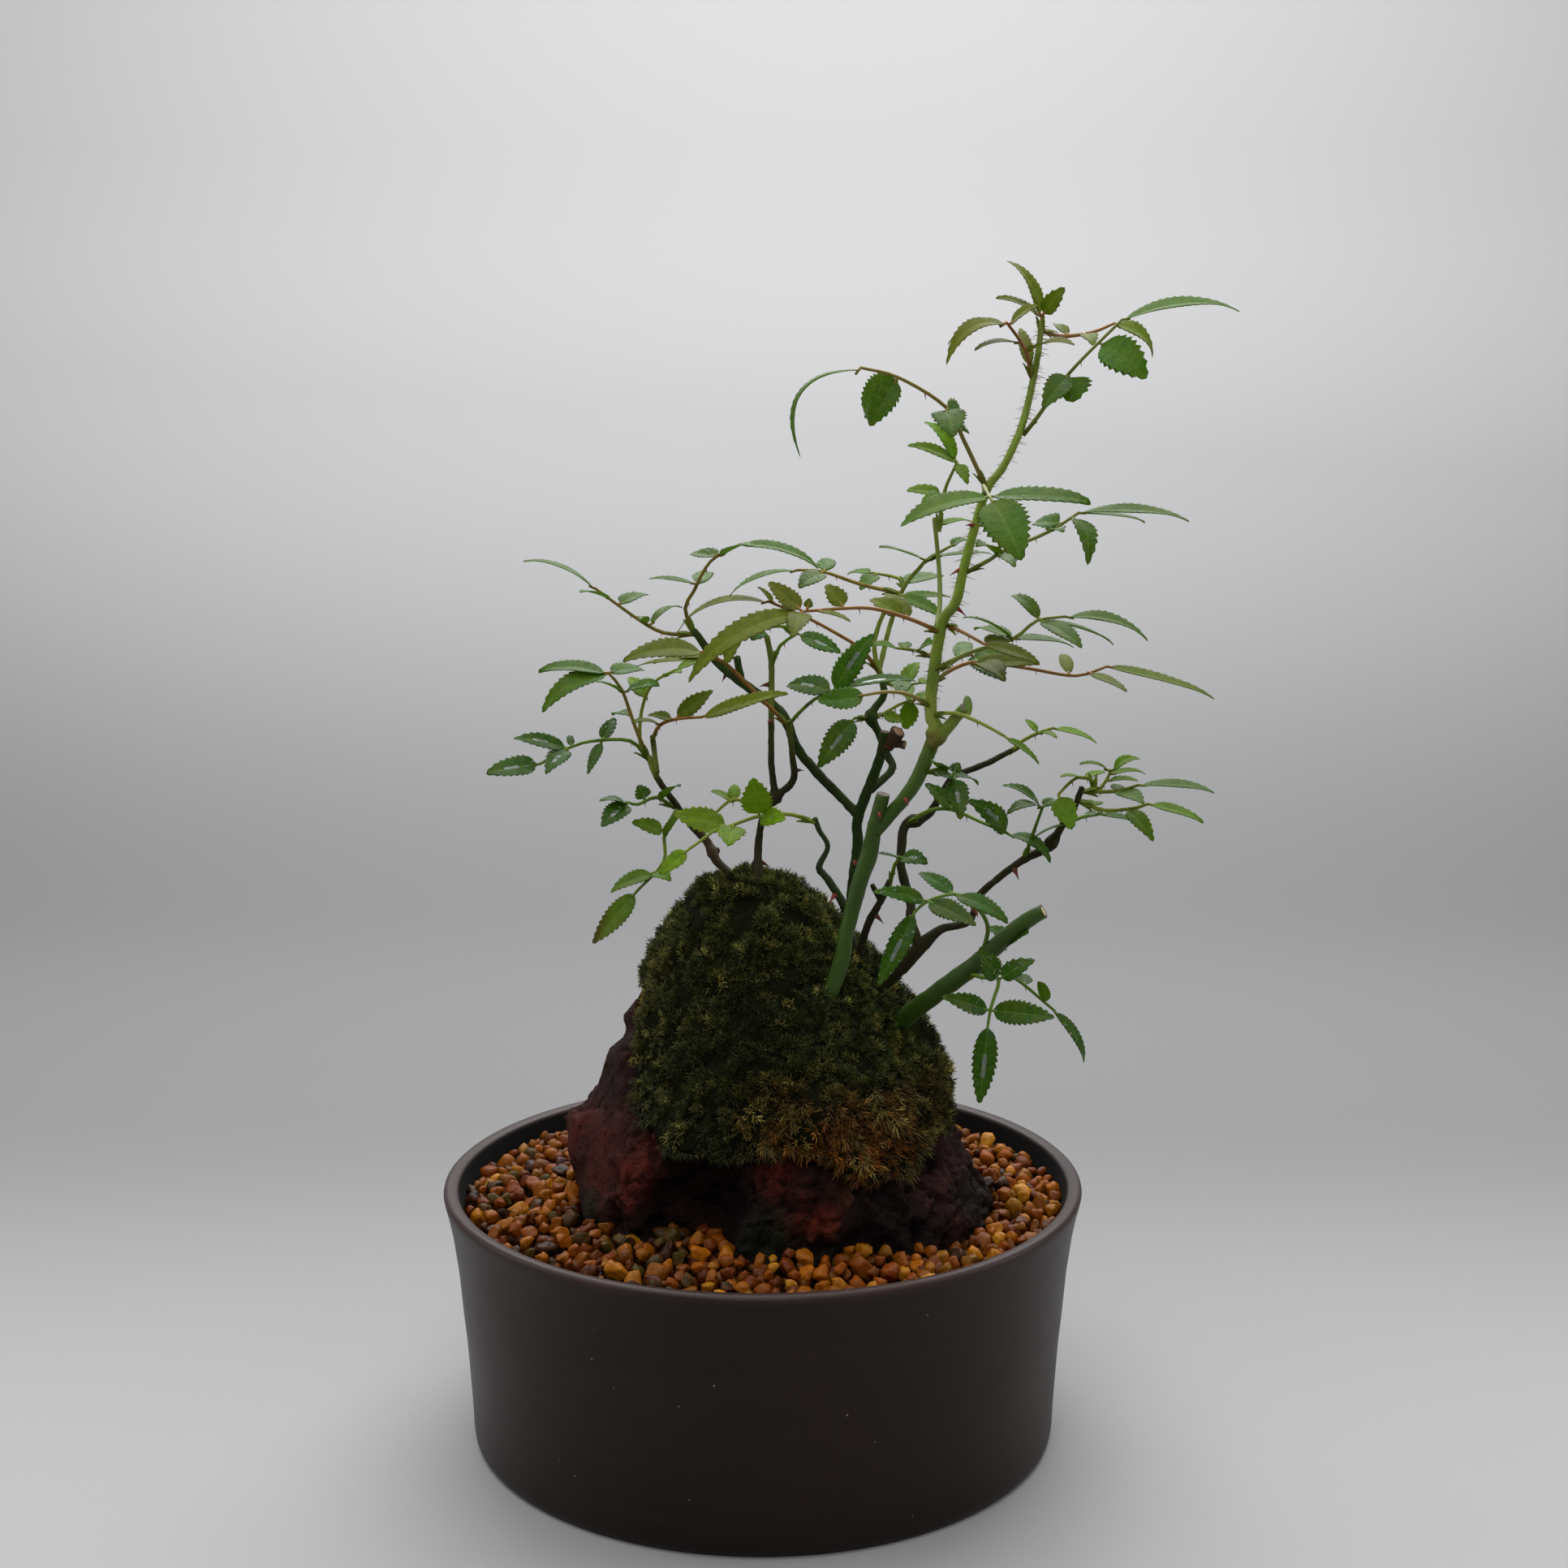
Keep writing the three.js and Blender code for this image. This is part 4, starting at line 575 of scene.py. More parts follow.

# Colours of bark low down and high up, and of thin young shoots. The low colours are darker partly as older
# bark and partly as painted shade low in the plant
BARK_FRESH = (srgb(52, 78, 22), srgb(118, 142, 44))
BARK_OLD = (srgb(36, 54, 18), srgb(46, 70, 22))
BARK_BROWN = (srgb(44, 42, 22), srgb(42, 60, 20))
BARK_YOUNG = srgb(104, 120, 42)
BARK_YOUNG_FROM = (158, 175)

# The data, bark and slot of each stem's node
STEMS = {
    "leafy_stem_leader": (LEADER, BARK_FRESH, "rose_fresh"),
    "leafy_stem_old_centre": (OLD_CENTRE, BARK_OLD, "rose_old"),
    "leafy_stem_left_centre": (LEFT_CENTRE, BARK_BROWN, "rose_old"),
    "leafy_stem_far_left": (FAR_LEFT, BARK_BROWN, "rose_old"),
    "leafy_twig_curly": (CURLY_TWIG, BARK_OLD, "rose_fresh"),
    "leafy_twig_short": (SHORT_TWIG, BARK_BROWN, "rose_old"),
    "leafy_stem_right_fork": (RIGHT_FORK, BARK_BROWN, "rose_old"),
    "leafy_cane_low": (LOW_CANE, BARK_FRESH, "rose_fresh"),
}


# Meshes

class Bag:
    """Points in mm, triangles, and a colour and three marks for each point, that become one mesh."""

    def __init__(self):
        self.points = []
        self.triangles = []
        self.colours = []
        self.marks = []
        self.count = 0

    def add(self, points, triangles, colours, marks=(0, 0, 0)):
        points = np.asarray(points, float).reshape(-1, 3)
        shape = (len(points), 3)
        self.points.append(points)
        self.triangles.append(np.asarray(triangles, int).reshape(-1, 3) + self.count)
        self.colours.append(np.broadcast_to(np.asarray(colours, float), shape))
        self.marks.append(np.broadcast_to(np.asarray(marks, float), shape))
        self.count += len(points)

    def piece(self, name, material, slot, nodes=(), smooth=True):
        mesh = bpy.data.meshes.new(name)
        points = np.vstack(self.points) * MM
        triangles = np.vstack(self.triangles)
        mesh.vertices.add(len(points))
        mesh.vertices.foreach_set("co", points.astype(np.float32).ravel())
        mesh.loops.add(triangles.size)
        mesh.loops.foreach_set("vertex_index", triangles.astype(np.int32).ravel())
        mesh.polygons.add(len(triangles))
        mesh.polygons.foreach_set("loop_start", np.arange(0, triangles.size, 3, dtype=np.int32))
        mesh.polygons.foreach_set("use_smooth", np.full(len(triangles), smooth))
        mesh.update(calc_edges=True)
        mesh.validate()
        paint(mesh, np.vstack(self.colours), np.vstack(self.marks))
        return placed(name, mesh, material, nodes)


def paint(mesh, colours, marks=None):
    """Stores a colour, and three marks, at each point of a mesh."""
    tint = mesh.attributes.new("tint", "FLOAT_COLOR", "POINT")
    opaque = np.hstack([colours, np.ones((len(colours), 1))])
    tint.data.foreach_set("color", opaque.astype(np.float32).ravel())
    if marks is not None:
        attribute = mesh.attributes.new("marks", "FLOAT_VECTOR", "POINT")
        attribute.data.foreach_set("vector", marks.astype(np.float32).ravel())


def placed(name, mesh, material, nodes=()):
    piece = bpy.data.objects.new(name, mesh)
    bpy.context.scene.collection.objects.link(piece)
    mesh.materials.clear()
    mesh.materials.append(material)
    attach(piece, "root")
    if nodes:
        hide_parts(*nodes)
    return piece


def shade_smooth(mesh):
    for polygon in mesh.polygons:
        polygon.use_smooth = True


def tree_of(piece):
    """A search tree, in mm, over the faces of a piece."""
    return BVHTree.FromPolygons([vertex.co / MM for vertex in piece.data.vertices],
                                [tuple(polygon.vertices) for polygon in piece.data.polygons])


def points_of(mesh):
    flat = np.empty(len(mesh.vertices) * 3, np.float32)
    mesh.vertices.foreach_get("co", flat)
    return flat.reshape(-1, 3).astype(float) / MM


def normals_of(mesh):
    flat = np.empty(len(mesh.vertices) * 3, np.float32)
    mesh.vertices.foreach_get("normal", flat)
    return flat.reshape(-1, 3).astype(float)


def move_points(mesh, points):
    mesh.vertices.foreach_set("co", (points * MM).astype(np.float32).ravel())
    mesh.update()


def remeshed(node, voxel, smoothings):
    """A copy of a CAD node's mesh with an even grid of small faces, its facets smoothed."""
    work = bpy.data.objects.new("work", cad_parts[node].data.copy())
    bpy.context.scene.collection.objects.link(work)
    remesh = work.modifiers.new("Remesh", "REMESH")
    remesh.mode = "VOXEL"
    remesh.voxel_size = voxel * MM
    smooth = work.modifiers.new("Smooth", "SMOOTH")
    smooth.iterations = smoothings
    graph = bpy.context.evaluated_depsgraph_get()
    mesh = bpy.data.meshes.new_from_object(work.evaluated_get(graph))
    bpy.data.objects.remove(work)
    shade_smooth(mesh)
    return mesh


def mix(a, b, share):
    return a + (b - a) * share


def smoothstep(low, high, value):
    share = np.clip((value - low) / (high - low), 0, 1)
    return share * share * (3 - 2 * share)


def unit(vector):
    return vector / max(np.linalg.norm(vector), 1e-9)


def squared_to(along, direction):
    """The part of a direction that is square to another."""
    return unit(direction - along * np.dot(direction, along))


def smooth_route(points, step):
    """A curve through points of any width, with a sample about every step mm."""
    corners = np.array(points, float)
    ends = np.vstack([2 * corners[0] - corners[1], corners, 2 * corners[-1] - corners[-2]])
    samples = []
    for at in range(len(corners) - 1):
        a, b, c, d = ends[at:at + 4]
        pieces = max(1, int(round(np.linalg.norm((c - b)[:3]) / step)))
        for piece in range(pieces):
            t = piece / pieces
            samples.append(0.5 * (2 * b + (c - a) * t + (2 * a - 5 * b + 4 * c - d) * t * t
                                  + (3 * b - a - 3 * c + d) * t ** 3))
    samples.append(corners[-1])
    return np.array(samples)


def point_along(route, share):
    corners = np.array(route, float)[:, :3]
    steps = np.linalg.norm(np.diff(corners, axis=0), axis=1)
    left = share * steps.sum()
    at = 0
    while at < len(steps) - 1 and left > steps[at]:
        left -= steps[at]
        at += 1
    return mix(corners[at], corners[at + 1], min(left / steps[at], 1))


def ring_triangles(rings, sides):
    """Triangles between rings of points, each ring's points after the one before."""
    triangles = []
    for ring in range(rings - 1):
        for side in range(sides):
            low = ring * sides + side
            low_next = ring * sides + (side + 1) % sides
            triangles.append((low, low_next, low_next + sides))
            triangles.append((low, low_next + sides, low + sides))
    return triangles


# A cut end, from its edge inward: how far out each ring is, and its colour. The last ring has the wood's own.
CUT_RINGS = ((0.96, srgb(56, 38, 24)), (0.74, srgb(70, 50, 32)), (0.66, None))


def fan(first, sides, tip):
    """Triangles from a ring of points to a tip."""
    return [(first + side, first + (side + 1) % sides, tip) for side in range(sides)]


def add_tube(bag, route, sides, colours, rough=0, cut=None):
    """A closed tube along route points [x, y, z, radius]. A cut end shows that colour in dark rings."""
    centres = route[:, :3]
    across = np.array([1.0, 0.0, 0.0])
    rings = []
    for at, centre in enumerate(centres):
        along = unit(centres[min(at + 1, len(centres) - 1)] - centres[max(at - 1, 0)])
        if at == 0 and abs(along[0]) > 0.9:
            across = np.array([0.0, 1.0, 0.0])
        across = squared_to(along, across)
        third = np.cross(along, across)
        for side in range(sides):
            angle = side / sides * 2 * math.pi
            out = across * math.cos(angle) + third * math.sin(angle)
            radius = route[at, 3]
            if rough:
                radius *= 1 + rough * noise.noise(Vector(centre * 0.6 + out * 1.3))
            rings.append(centre + out * radius)
    rings = np.array(rings)
    tints = np.repeat(np.broadcast_to(colours, (len(centres), 3)), sides, axis=0)
    triangles = ring_triangles(len(centres), sides)
    rim = (len(centres) - 1) * sides
    edge = rings[rim:]
    end = centres[-1]
    points = [rings]
    all_tints = [tints]
    if cut is None:
        tip = end + unit(centres[-1] - centres[-2]) * route[-1, 3] * 0.5
        tip_tint = tints[-1]
    else:
        for share, tint in CUT_RINGS:
            points.append(end + (edge - end) * share)
            all_tints.append(np.tile(cut if tint is None else tint, (sides, 1)))
        triangles += [(a + rim, b + rim, c + rim) for a, b, c in ring_triangles(len(CUT_RINGS) + 1, sides)]
        rim += len(CUT_RINGS) * sides
        tip = end
        tip_tint = cut * 0.75
    count = rim + sides
    triangles += fan(rim, sides, count)
    triangles += [(foot, after, side) for side, after, foot in fan(0, sides, count + 1)]
    points += [[tip], [centres[0]]]
    all_tints += [[tip_tint], [tints[0]]]
    bag.add(np.vstack(points), triangles, np.vstack(all_tints))


def ball(levels):
    """Points and triangles of a ball of radius 1 made of even triangles."""
    mesh = bpy.data.meshes.new("ball")
    shape = bmesh.new()
    bmesh.ops.create_icosphere(shape, subdivisions=levels, radius=1)
    shape.to_mesh(mesh)
    shape.free()
    points = np.array([vertex.co for vertex in mesh.vertices])
    triangles = np.array([polygon.vertices for polygon in mesh.polygons])
    bpy.data.meshes.remove(mesh)
    return points, triangles


# Materials

class Shader:
    """A material of one Principled shader, with short calls for the nodes that feed it."""

    def __init__(self, name):
        self.material = bpy.data.materials.new(name)
        self.material.use_nodes = True
        self.tree = self.material.node_tree
        self.shader = self.tree.nodes["Principled BSDF"]
        self.place = self.node("ShaderNodeTexCoord").outputs["Object"]

    def node(self, kind, **settings):
        made = self.tree.nodes.new(kind)
        for key, value in settings.items():
            setattr(made, key, value)
        return made

    def link(self, source, target):
        if hasattr(source, "is_output"):
            self.tree.links.new(source, target)
        else:
            target.default_value = source

    def attribute(self, name, output="Color"):
        return self.node("ShaderNodeAttribute", attribute_name=name).outputs[output]

    def noise(self, scale, detail=3, roughness=0.55, stretch=None, distortion=0):
        texture = self.node("ShaderNodeTexNoise")
        texture.inputs["Scale"].default_value = scale
        texture.inputs["Detail"].default_value = detail
        texture.inputs["Roughness"].default_value = roughness
        texture.inputs["Distortion"].default_value = distortion
        place = self.place
        if stretch:
            mapping = self.node("ShaderNodeMapping")
            mapping.inputs["Scale"].default_value = stretch
            self.link(place, mapping.inputs["Vector"])
            place = mapping.outputs["Vector"]
        self.link(place, texture.inputs["Vector"])
        return texture.outputs["Fac"]

    def cells(self, scale):
        texture = self.node("ShaderNodeTexVoronoi")
        texture.inputs["Scale"].default_value = scale
        self.link(self.place, texture.inputs["Vector"])
        return texture.outputs["Distance"]

    def ramp(self, value, low, high, from_value=0.0, to_value=1.0):
        """A smooth step from one value to another as the input goes from low to high."""
        node = self.node("ShaderNodeMapRange", interpolation_type="SMOOTHSTEP")
        self.link(value, node.inputs["Value"])
        limits = {"From Min": low, "From Max": high, "To Min": from_value, "To Max": to_value}
        for name, number in limits.items():
            node.inputs[name].default_value = number
        return node.outputs["Result"]

    def math(self, operation, first, second=0.0):
        node = self.node("ShaderNodeMath", operation=operation)
        self.link(first, node.inputs[0])
        self.link(second, node.inputs[1])
        return node.outputs[0]

    def colour(self, share, first, second):
        """A mix of two colours, each an array or an output."""
        node = self.node("ShaderNodeMix", data_type="RGBA")
        self.link(share, node.inputs["Factor"])
        for value, index in ((first, 6), (second, 7)):
            if isinstance(value, np.ndarray):
                value = (*value, 1)
            self.link(value, node.inputs[index])
        return node.outputs[2]

    def bump(self, height, distance, strength=1.0, under=None):
        node = self.node("ShaderNodeBump")
        node.inputs["Distance"].default_value = distance * MM
        node.inputs["Strength"].default_value = strength
        self.link(height, node.inputs["Height"])
        if under is not None:
            self.link(under, node.inputs["Normal"])
        return node.outputs["Normal"]

    def finish(self, colour, roughness, normal=None, **constants):
        self.link(colour, self.shader.inputs["Base Color"])
        self.link(roughness, self.shader.inputs["Roughness"])
        if normal is not None:
            self.link(normal, self.shader.inputs["Normal"])
        for name, value in constants.items():
            self.shader.inputs[name.replace("_", " ")].default_value = value
        return self.material

    def lit_through(self, share, colour):
        """Lets a share of the light through, as a thin leaf does."""
        through = self.node("ShaderNodeBsdfTranslucent")
        self.link(colour, through.inputs["Color"])
        mixed = self.node("ShaderNodeMixShader")
        mixed.inputs["Fac"].default_value = share
        self.link(self.shader.outputs[0], mixed.inputs[1])
        self.link(through.outputs[0], mixed.inputs[2])
        self.link(mixed.outputs[0], self.tree.nodes["Material Output"].inputs["Surface"])


def leaf_material():
    """Marks: along the leaflet in veins, across it from -1 to 1, and how wet it is, or UNDERSIDE."""
    s = Shader("rose_leaf")
    tint = s.attribute("tint")
    split = s.node("ShaderNodeSeparateXYZ")
    s.link(s.attribute("marks", "Vector"), split.inputs[0])
    veins, across, wet = split.outputs
    off_rib = s.math("ABSOLUTE", across)
    rib = s.ramp(off_rib, 0.02, 0.1, 1.0, 0.0)
    off_vein = s.math("ABSOLUTE", s.math("SUBTRACT", s.math("FRACT", veins), 0.5))
    vein = s.math("MULTIPLY", s.ramp(off_vein, 0.03, 0.16, 1.0, 0.0), s.ramp(off_rib, 0.75, 1.0, 1.0, 0.0))
    mottle = s.noise(900, 4)
    blotch = s.noise(160, 2)
    base = s.colour(s.ramp(mottle, 0.35, 0.7, 0.0, 0.4), tint, srgb(34, 58, 18))
    base = s.colour(s.ramp(blotch, 0.45, 0.75, 0.0, 0.22), base, srgb(138, 124, 42))
    base = s.colour(s.math("MULTIPLY", vein, 0.16), base, srgb(132, 150, 66))
    base = s.colour(s.math("MULTIPLY", rib, 0.36), base, srgb(138, 154, 70))
    below = s.ramp(wet, -0.6, -0.2, 1.0, 0.0)
    base = s.colour(s.math("MULTIPLY", below, 0.25), base, srgb(116, 142, 52))
    # Painted highlights of water drops: small whitish dots on the wet leaves, with a bump
    drops = s.ramp(s.cells(1150), 0.16, 0.3, 1.0, 0.0)
    many = s.ramp(s.noise(500, 1), 0.42, 0.55, 0.0, 1.0)
    drops = s.math("MULTIPLY", s.math("MULTIPLY", drops, many), s.ramp(wet, 0.1, 0.9))
    base = s.colour(s.math("MULTIPLY", drops, 0.34), base, srgb(196, 206, 176))
    relief = s.math("ADD", s.math("MULTIPLY", vein, -0.5), s.math("MULTIPLY", rib, -0.7))
    normal = s.bump(relief, 0.1, 0.5)
    normal = s.bump(mottle, 0.04, 0.4, normal)
    normal = s.bump(drops, 0.25, 1.0, normal)
    roughness = s.math("SUBTRACT", s.ramp(wet, -0.1, 1.0, 0.6, 0.36), s.math("MULTIPLY", drops, 0.15))
    s.finish(base, roughness, normal, Specular_IOR_Level=0.2)
    s.lit_through(0.5, s.colour(0.5, base, srgb(170, 196, 12)))
    return s.material


def bark_material(name, roughness, streaks, sheen):
    s = Shader(name)
    tint = s.attribute("tint")
    grain = s.noise(420, 5, stretch=(1, 1, 0.25))
    spots = s.noise(1100, 3)
    base = s.colour(s.ramp(grain, 0.4, 0.75, 0.0, streaks), tint, srgb(44, 34, 22))
    base = s.colour(s.ramp(spots, 0.55, 0.8, 0.0, 0.2), base, srgb(112, 118, 62))
    normal = s.bump(grain, 0.18, 0.7)
    normal = s.bump(spots, 0.06, 0.6, normal)
    rough = s.ramp(grain, 0.3, 0.8, roughness, roughness + 0.2)
    return s.finish(base, rough, normal, Specular_IOR_Level=sheen)


def plain_growth_material(name, roughness, darker, fine, bump, sheen=0.25):
    """For what is coloured point by point, such as moss leaves, thorns and grains."""
    s = Shader(name)
    speckle = s.noise(fine, 4, 0.65)
    base = s.colour(s.ramp(speckle, 0.35, 0.75, 0.0, 0.55), s.attribute("tint"), darker)
    return s.finish(base, roughness, s.bump(speckle, bump, 0.8), Specular_IOR_Level=sheen)


def rock_material():
    s = Shader("lava_rock")
    tint = s.attribute("tint")
    broad = s.noise(70, 6, 0.65)
    fine = s.noise(470, 9, 0.8, distortion=0.6)
    grit = s.noise(1900, 4, 0.7)
    shaded_pores = s.ramp(s.noise(760, 3, 0.6, distortion=1.2), 0.34, 0.46, 1.0, 0.0)
    base = s.colour(s.ramp(broad, 0.38, 0.68, 0.0, 0.7), tint, srgb(26, 15, 13))
    base = s.colour(s.ramp(fine, 0.55, 0.72, 0.0, 0.45), base, srgb(112, 44, 26))
    base = s.colour(s.ramp(grit, 0.58, 0.7, 0.0, 0.34), base, srgb(124, 80, 60))
    # Painted shade: the pores are painted nearly black
    base = s.colour(s.math("MULTIPLY", shaded_pores, 0.75), base, srgb(12, 7, 6))
    normal = s.bump(s.math("SUBTRACT", fine, s.math("MULTIPLY", shaded_pores, 0.5)), 1.4, 1.0)
    normal = s.bump(grit, 0.2, 0.9, normal)
    return s.finish(base, s.ramp(fine, 0.3, 0.8, 0.9, 0.6), normal, Specular_IOR_Level=0.16)


def pot_material():
    s = Shader("pot_clay")
    split = s.node("ShaderNodeSeparateXYZ")
    s.link(s.place, split.inputs[0])
    cloud = s.noise(18, 4, 0.6)
    turning = s.noise(30, 4, 0.6, stretch=(0.6, 0.6, 9))
    grit = s.noise(2600, 2)
    specks = s.ramp(s.cells(420), 0.05, 0.11, 1.0, 0.0)
    rare = s.ramp(s.noise(240, 1), 0.64, 0.7)
    base = s.colour(s.ramp(cloud, 0.3, 0.75), srgb(28, 18, 15), srgb(37, 26, 22))
    base = s.colour(s.ramp(turning, 0.4, 0.8, 0.0, 0.3), base, srgb(44, 32, 28))
    # The lip is painted lighter: partly the worn clay's own colour, partly a painted highlight along the rim
    lip = s.math("MULTIPLY", s.ramp(split.outputs["Z"], 0.0585, 0.0608), s.ramp(cloud, 0.25, 0.7, 0.35, 0.9))
    base = s.colour(lip, base, srgb(62, 46, 44))
    base = s.colour(s.math("MULTIPLY", specks, rare), base, srgb(150, 140, 132))
    reach = s.node("ShaderNodeVectorMath", operation="LENGTH")
    level = s.node("ShaderNodeVectorMath", operation="MULTIPLY")
    level.inputs[1].default_value = (1, 1, 0)
    s.link(s.place, level.inputs[0])
    s.link(level.outputs["Vector"], reach.inputs[0])
    # Painted shade: the inner wall above the gravel is painted nearly black, where it lies in shadow
    rim_inside = (RIM_RADIUS - LIP_WIDTH) * MM
    inside = s.ramp(reach.outputs["Value"], rim_inside - 0.2 * MM, rim_inside + 0.3 * MM, 1.0, 0.0)
    painted_shade_from = LOWEST_SHADED_WALL * MM
    inside = s.math("MULTIPLY", inside, s.ramp(split.outputs["Z"], painted_shade_from - MM, painted_shade_from + MM))
    base = s.colour(inside, base, srgb(6, 5, 4))
    normal = s.bump(grit, 0.05, 0.6)
    normal = s.bump(turning, 0.12, 0.5, normal)
    roughness = s.math("MAXIMUM", s.ramp(cloud, 0.3, 0.8, 0.38, 0.5), inside)
    return s.finish(base, roughness, normal, Specular_IOR_Level=0.2)


def water_material():
    s = Shader("water")
    return s.finish((0.8, 0.88, 0.8, 1), 0.03, Transmission_Weight=0.85, IOR=1.33)


def net_material():
    s = Shader("drain_net")
    weave = s.noise(900, 2)
    return s.finish(s.colour(weave, srgb(20, 20, 21), srgb(34, 34, 35)), 0.55, s.bump(weave, 0.08, 0.6))


LEAF = leaf_material()
BARK_FRESH_LOOK = bark_material("fresh_bark", 0.38, 0.12, 0.26)
BARK_OLD_LOOK = bark_material("old_bark", 0.6, 0.65, 0.1)
MOSS_LEAF = plain_growth_material("moss_leaf", 0.7, srgb(24, 26, 10), 1400, 0.05)
MOSS_GROUND = plain_growth_material("moss_ground", 1.0, srgb(6, 6, 3), 700, 0.3, 0.05)
GRAIN = plain_growth_material("clay_grain", 0.4, srgb(104, 46, 2), 700, 0.4, 0.16)
ROCK = rock_material()
POT = pot_material()


# Pot: turned with a narrow, nearly flat lip, a wall that flares out towards the top, and three drain holes

def pot_profile():
    """Points (radius, height) from the middle of the underside, up the outside and down the inside."""
    foot = [
        (0, UNDERSIDE_LIFT), (BASE_RADIUS - 6, UNDERSIDE_LIFT), (BASE_RADIUS - 5, 0), (BASE_RADIUS - 2.2, 0),
        (BASE_RADIUS - 0.9, 0.5), (BASE_RADIUS - 0.2, 1.5), (BASE_RADIUS, 2.8)
    ]
    outside = [
        (BASE_RADIUS + 0.2, 8), (BASE_RADIUS + 0.7, 16), (BASE_RADIUS + 1.2, 24), (BASE_RADIUS + 1.9, 31),
        (BASE_RADIUS + 2.8, 42), (RIM_RADIUS - 2, 51), (RIM_RADIUS - 1, 56), (RIM_RADIUS - 0.35, 58.6)
    ]
    lip = [
        (RIM_RADIUS - 0.1, 59.8), (RIM_RADIUS - 0.25, 60.4), (RIM_RADIUS - 0.7, 60.8),
        (RIM_RADIUS - 1.3, POT_HEIGHT), (RIM_RADIUS - 3.0, 60.7), (RIM_RADIUS - 3.4, 60.4),
        (RIM_RADIUS - 3.65, 59.8), (RIM_RADIUS - 3.9, 58)
    ]
    inside = [
        (RIM_RADIUS - 2 - WALL, 51), (BASE_RADIUS + 1.9 - WALL, 31), (BASE_RADIUS - WALL - 0.3, 12),
        (BASE_RADIUS - WALL - 0.8, FLOOR + 2.4), (BASE_RADIUS - WALL - 3, FLOOR), (0, FLOOR)
    ]
    return foot + outside + lip + inside


def drill_hole(pot, angle):
    place = (math.cos(angle) * DRAIN_RING * MM, math.sin(angle) * DRAIN_RING * MM, FLOOR / 2 * MM)
    depth = FLOOR * 3 * MM
    bpy.ops.mesh.primitive_cylinder_add(vertices=48, radius=DRAIN_RADIUS * MM, depth=depth, location=place)
    drill = bpy.context.object
    cut = pot.modifiers.new("Hole", "BOOLEAN")
    cut.operation = "DIFFERENCE"
    cut.solver = "EXACT"
    cut.object = drill
    graph = bpy.context.evaluated_depsgraph_get()
    mesh = bpy.data.meshes.new_from_object(pot.evaluated_get(graph))
    pot.modifiers.clear()
    pot.data = mesh
    bpy.data.objects.remove(drill)


def pot_piece():
    profile = pot_profile()
    rings = []
    for radius, height in profile[1:-1]:
        for segment in range(POT_SEGMENTS):
            angle = segment / POT_SEGMENTS * 2 * math.pi
            rings.append((radius * math.cos(angle), radius * math.sin(angle), height))
    triangles = ring_triangles(len(profile) - 2, POT_SEGMENTS)
    count = len(rings)
    last = count - POT_SEGMENTS
    for segment in range(POT_SEGMENTS):
        after = (segment + 1) % POT_SEGMENTS
        triangles += [(count, after, segment), (last + segment, last + after, count + 1)]
    bag = Bag()
    bag.add(rings + [(0, 0, profile[0][1]), (0, 0, FLOOR)], triangles, srgb(50, 40, 42))
    pot = bag.piece("pot_turned", POT, "pot_clay", ["pot"])
    for hole in range(DRAIN_COUNT):
        drill_hole(pot, hole / DRAIN_COUNT * 2 * math.pi)
    shade_smooth(pot.data)
    pot.data.set_sharp_from_angle(angle=math.radians(40))


# Rock: broken facets, a deep hollow low in front, pits all over

# Flat faces broken into the rock: [x, y, z on the face, its direction outward, reach]
ROCK_FACETS = [
    [(-37, -22, 73), (-0.81, -0.51, 0.3), 19],
    [(-27, -35, 76), (-0.35, -0.92, 0.12), 11],
    [(-34, -8, 92), (-0.86, -0.34, 0.38), 17],
    [(-36, -30, 62), (-0.62, -0.76, -0.2), 10],
    [(4, -46, 77), (0.1, -0.84, 0.53), 12],
    [(-5, -45.5, 67), (-0.62, -0.78, 0.05), 12],
    [(15, -47.5, 64), (0.45, -0.88, 0.1), 14],
    [(34, -39, 68), (0.48, -0.82, 0.32), 17],
    [(48, -20, 66), (0.8, -0.36, 0.48), 16],
    [(44, -34, 60), (0.7, -0.7, 0.1), 12],
    [(50, 2, 66), (0.86, 0.1, 0.5), 14],
]

# Dark hollows: [x, y, z, reach, depth]
ROCK_HOLLOWS = [
    [-14, -43, 72, 12, 9],
    [-17, -41, 62, 12, 8],
    [-11, -46, 80, 9, 6],
    [23, -47, 57, 9, 3],
    [-33, -2, 98, 6, 1.5],
]

# Patches of colour on the rock, the near-black ones low in front painted shade in the hollows: [x, y, z,
# reach, colour, strength]
ROCK_PATCHES = [
    [-40, -18, 72, 17, srgb(90, 34, 24), 1.0],
    [-27, -36, 74, 11, srgb(108, 36, 20), 1.0],
    [-34, -10, 94, 17, srgb(50, 22, 17), 1.0],
    [-39, -24, 60, 7, srgb(40, 50, 20), 0.8],
    # The next two are painted shade in the hollows low in front
    [-13, -44, 67, 18, srgb(6, 7, 5), 1.0],
    [-22, -40, 60, 9, srgb(14, 24, 12), 0.9],
    [2, -48, 78, 10, srgb(104, 34, 22), 0.9],
    [12, -50, 67, 8, srgb(122, 40, 20), 0.8],
    [-5, -49, 69, 9, srgb(54, 36, 22), 0.8],
    [-1, -50, 61, 12, srgb(26, 38, 16), 0.9],
    [14, -50, 56, 10, srgb(20, 32, 14), 0.8],
    [30, -44, 62, 16, srgb(32, 22, 19), 0.9],
    [42, -32, 72, 12, srgb(66, 30, 28), 0.8],
    [50, -26, 64, 9, srgb(26, 28, 18), 0.8],
    [52, -14, 64, 12, srgb(30, 28, 24), 0.8],
    [20, -48, 77, 9, srgb(84, 52, 20), 0.8],
]

# Where the broken faces are smoother: [x, y, z, reach], and by how much
ROCK_SMOOTHER = (([-40, -18, 70, 19], 1), ([-35, -8, 92, 20], 0.8))


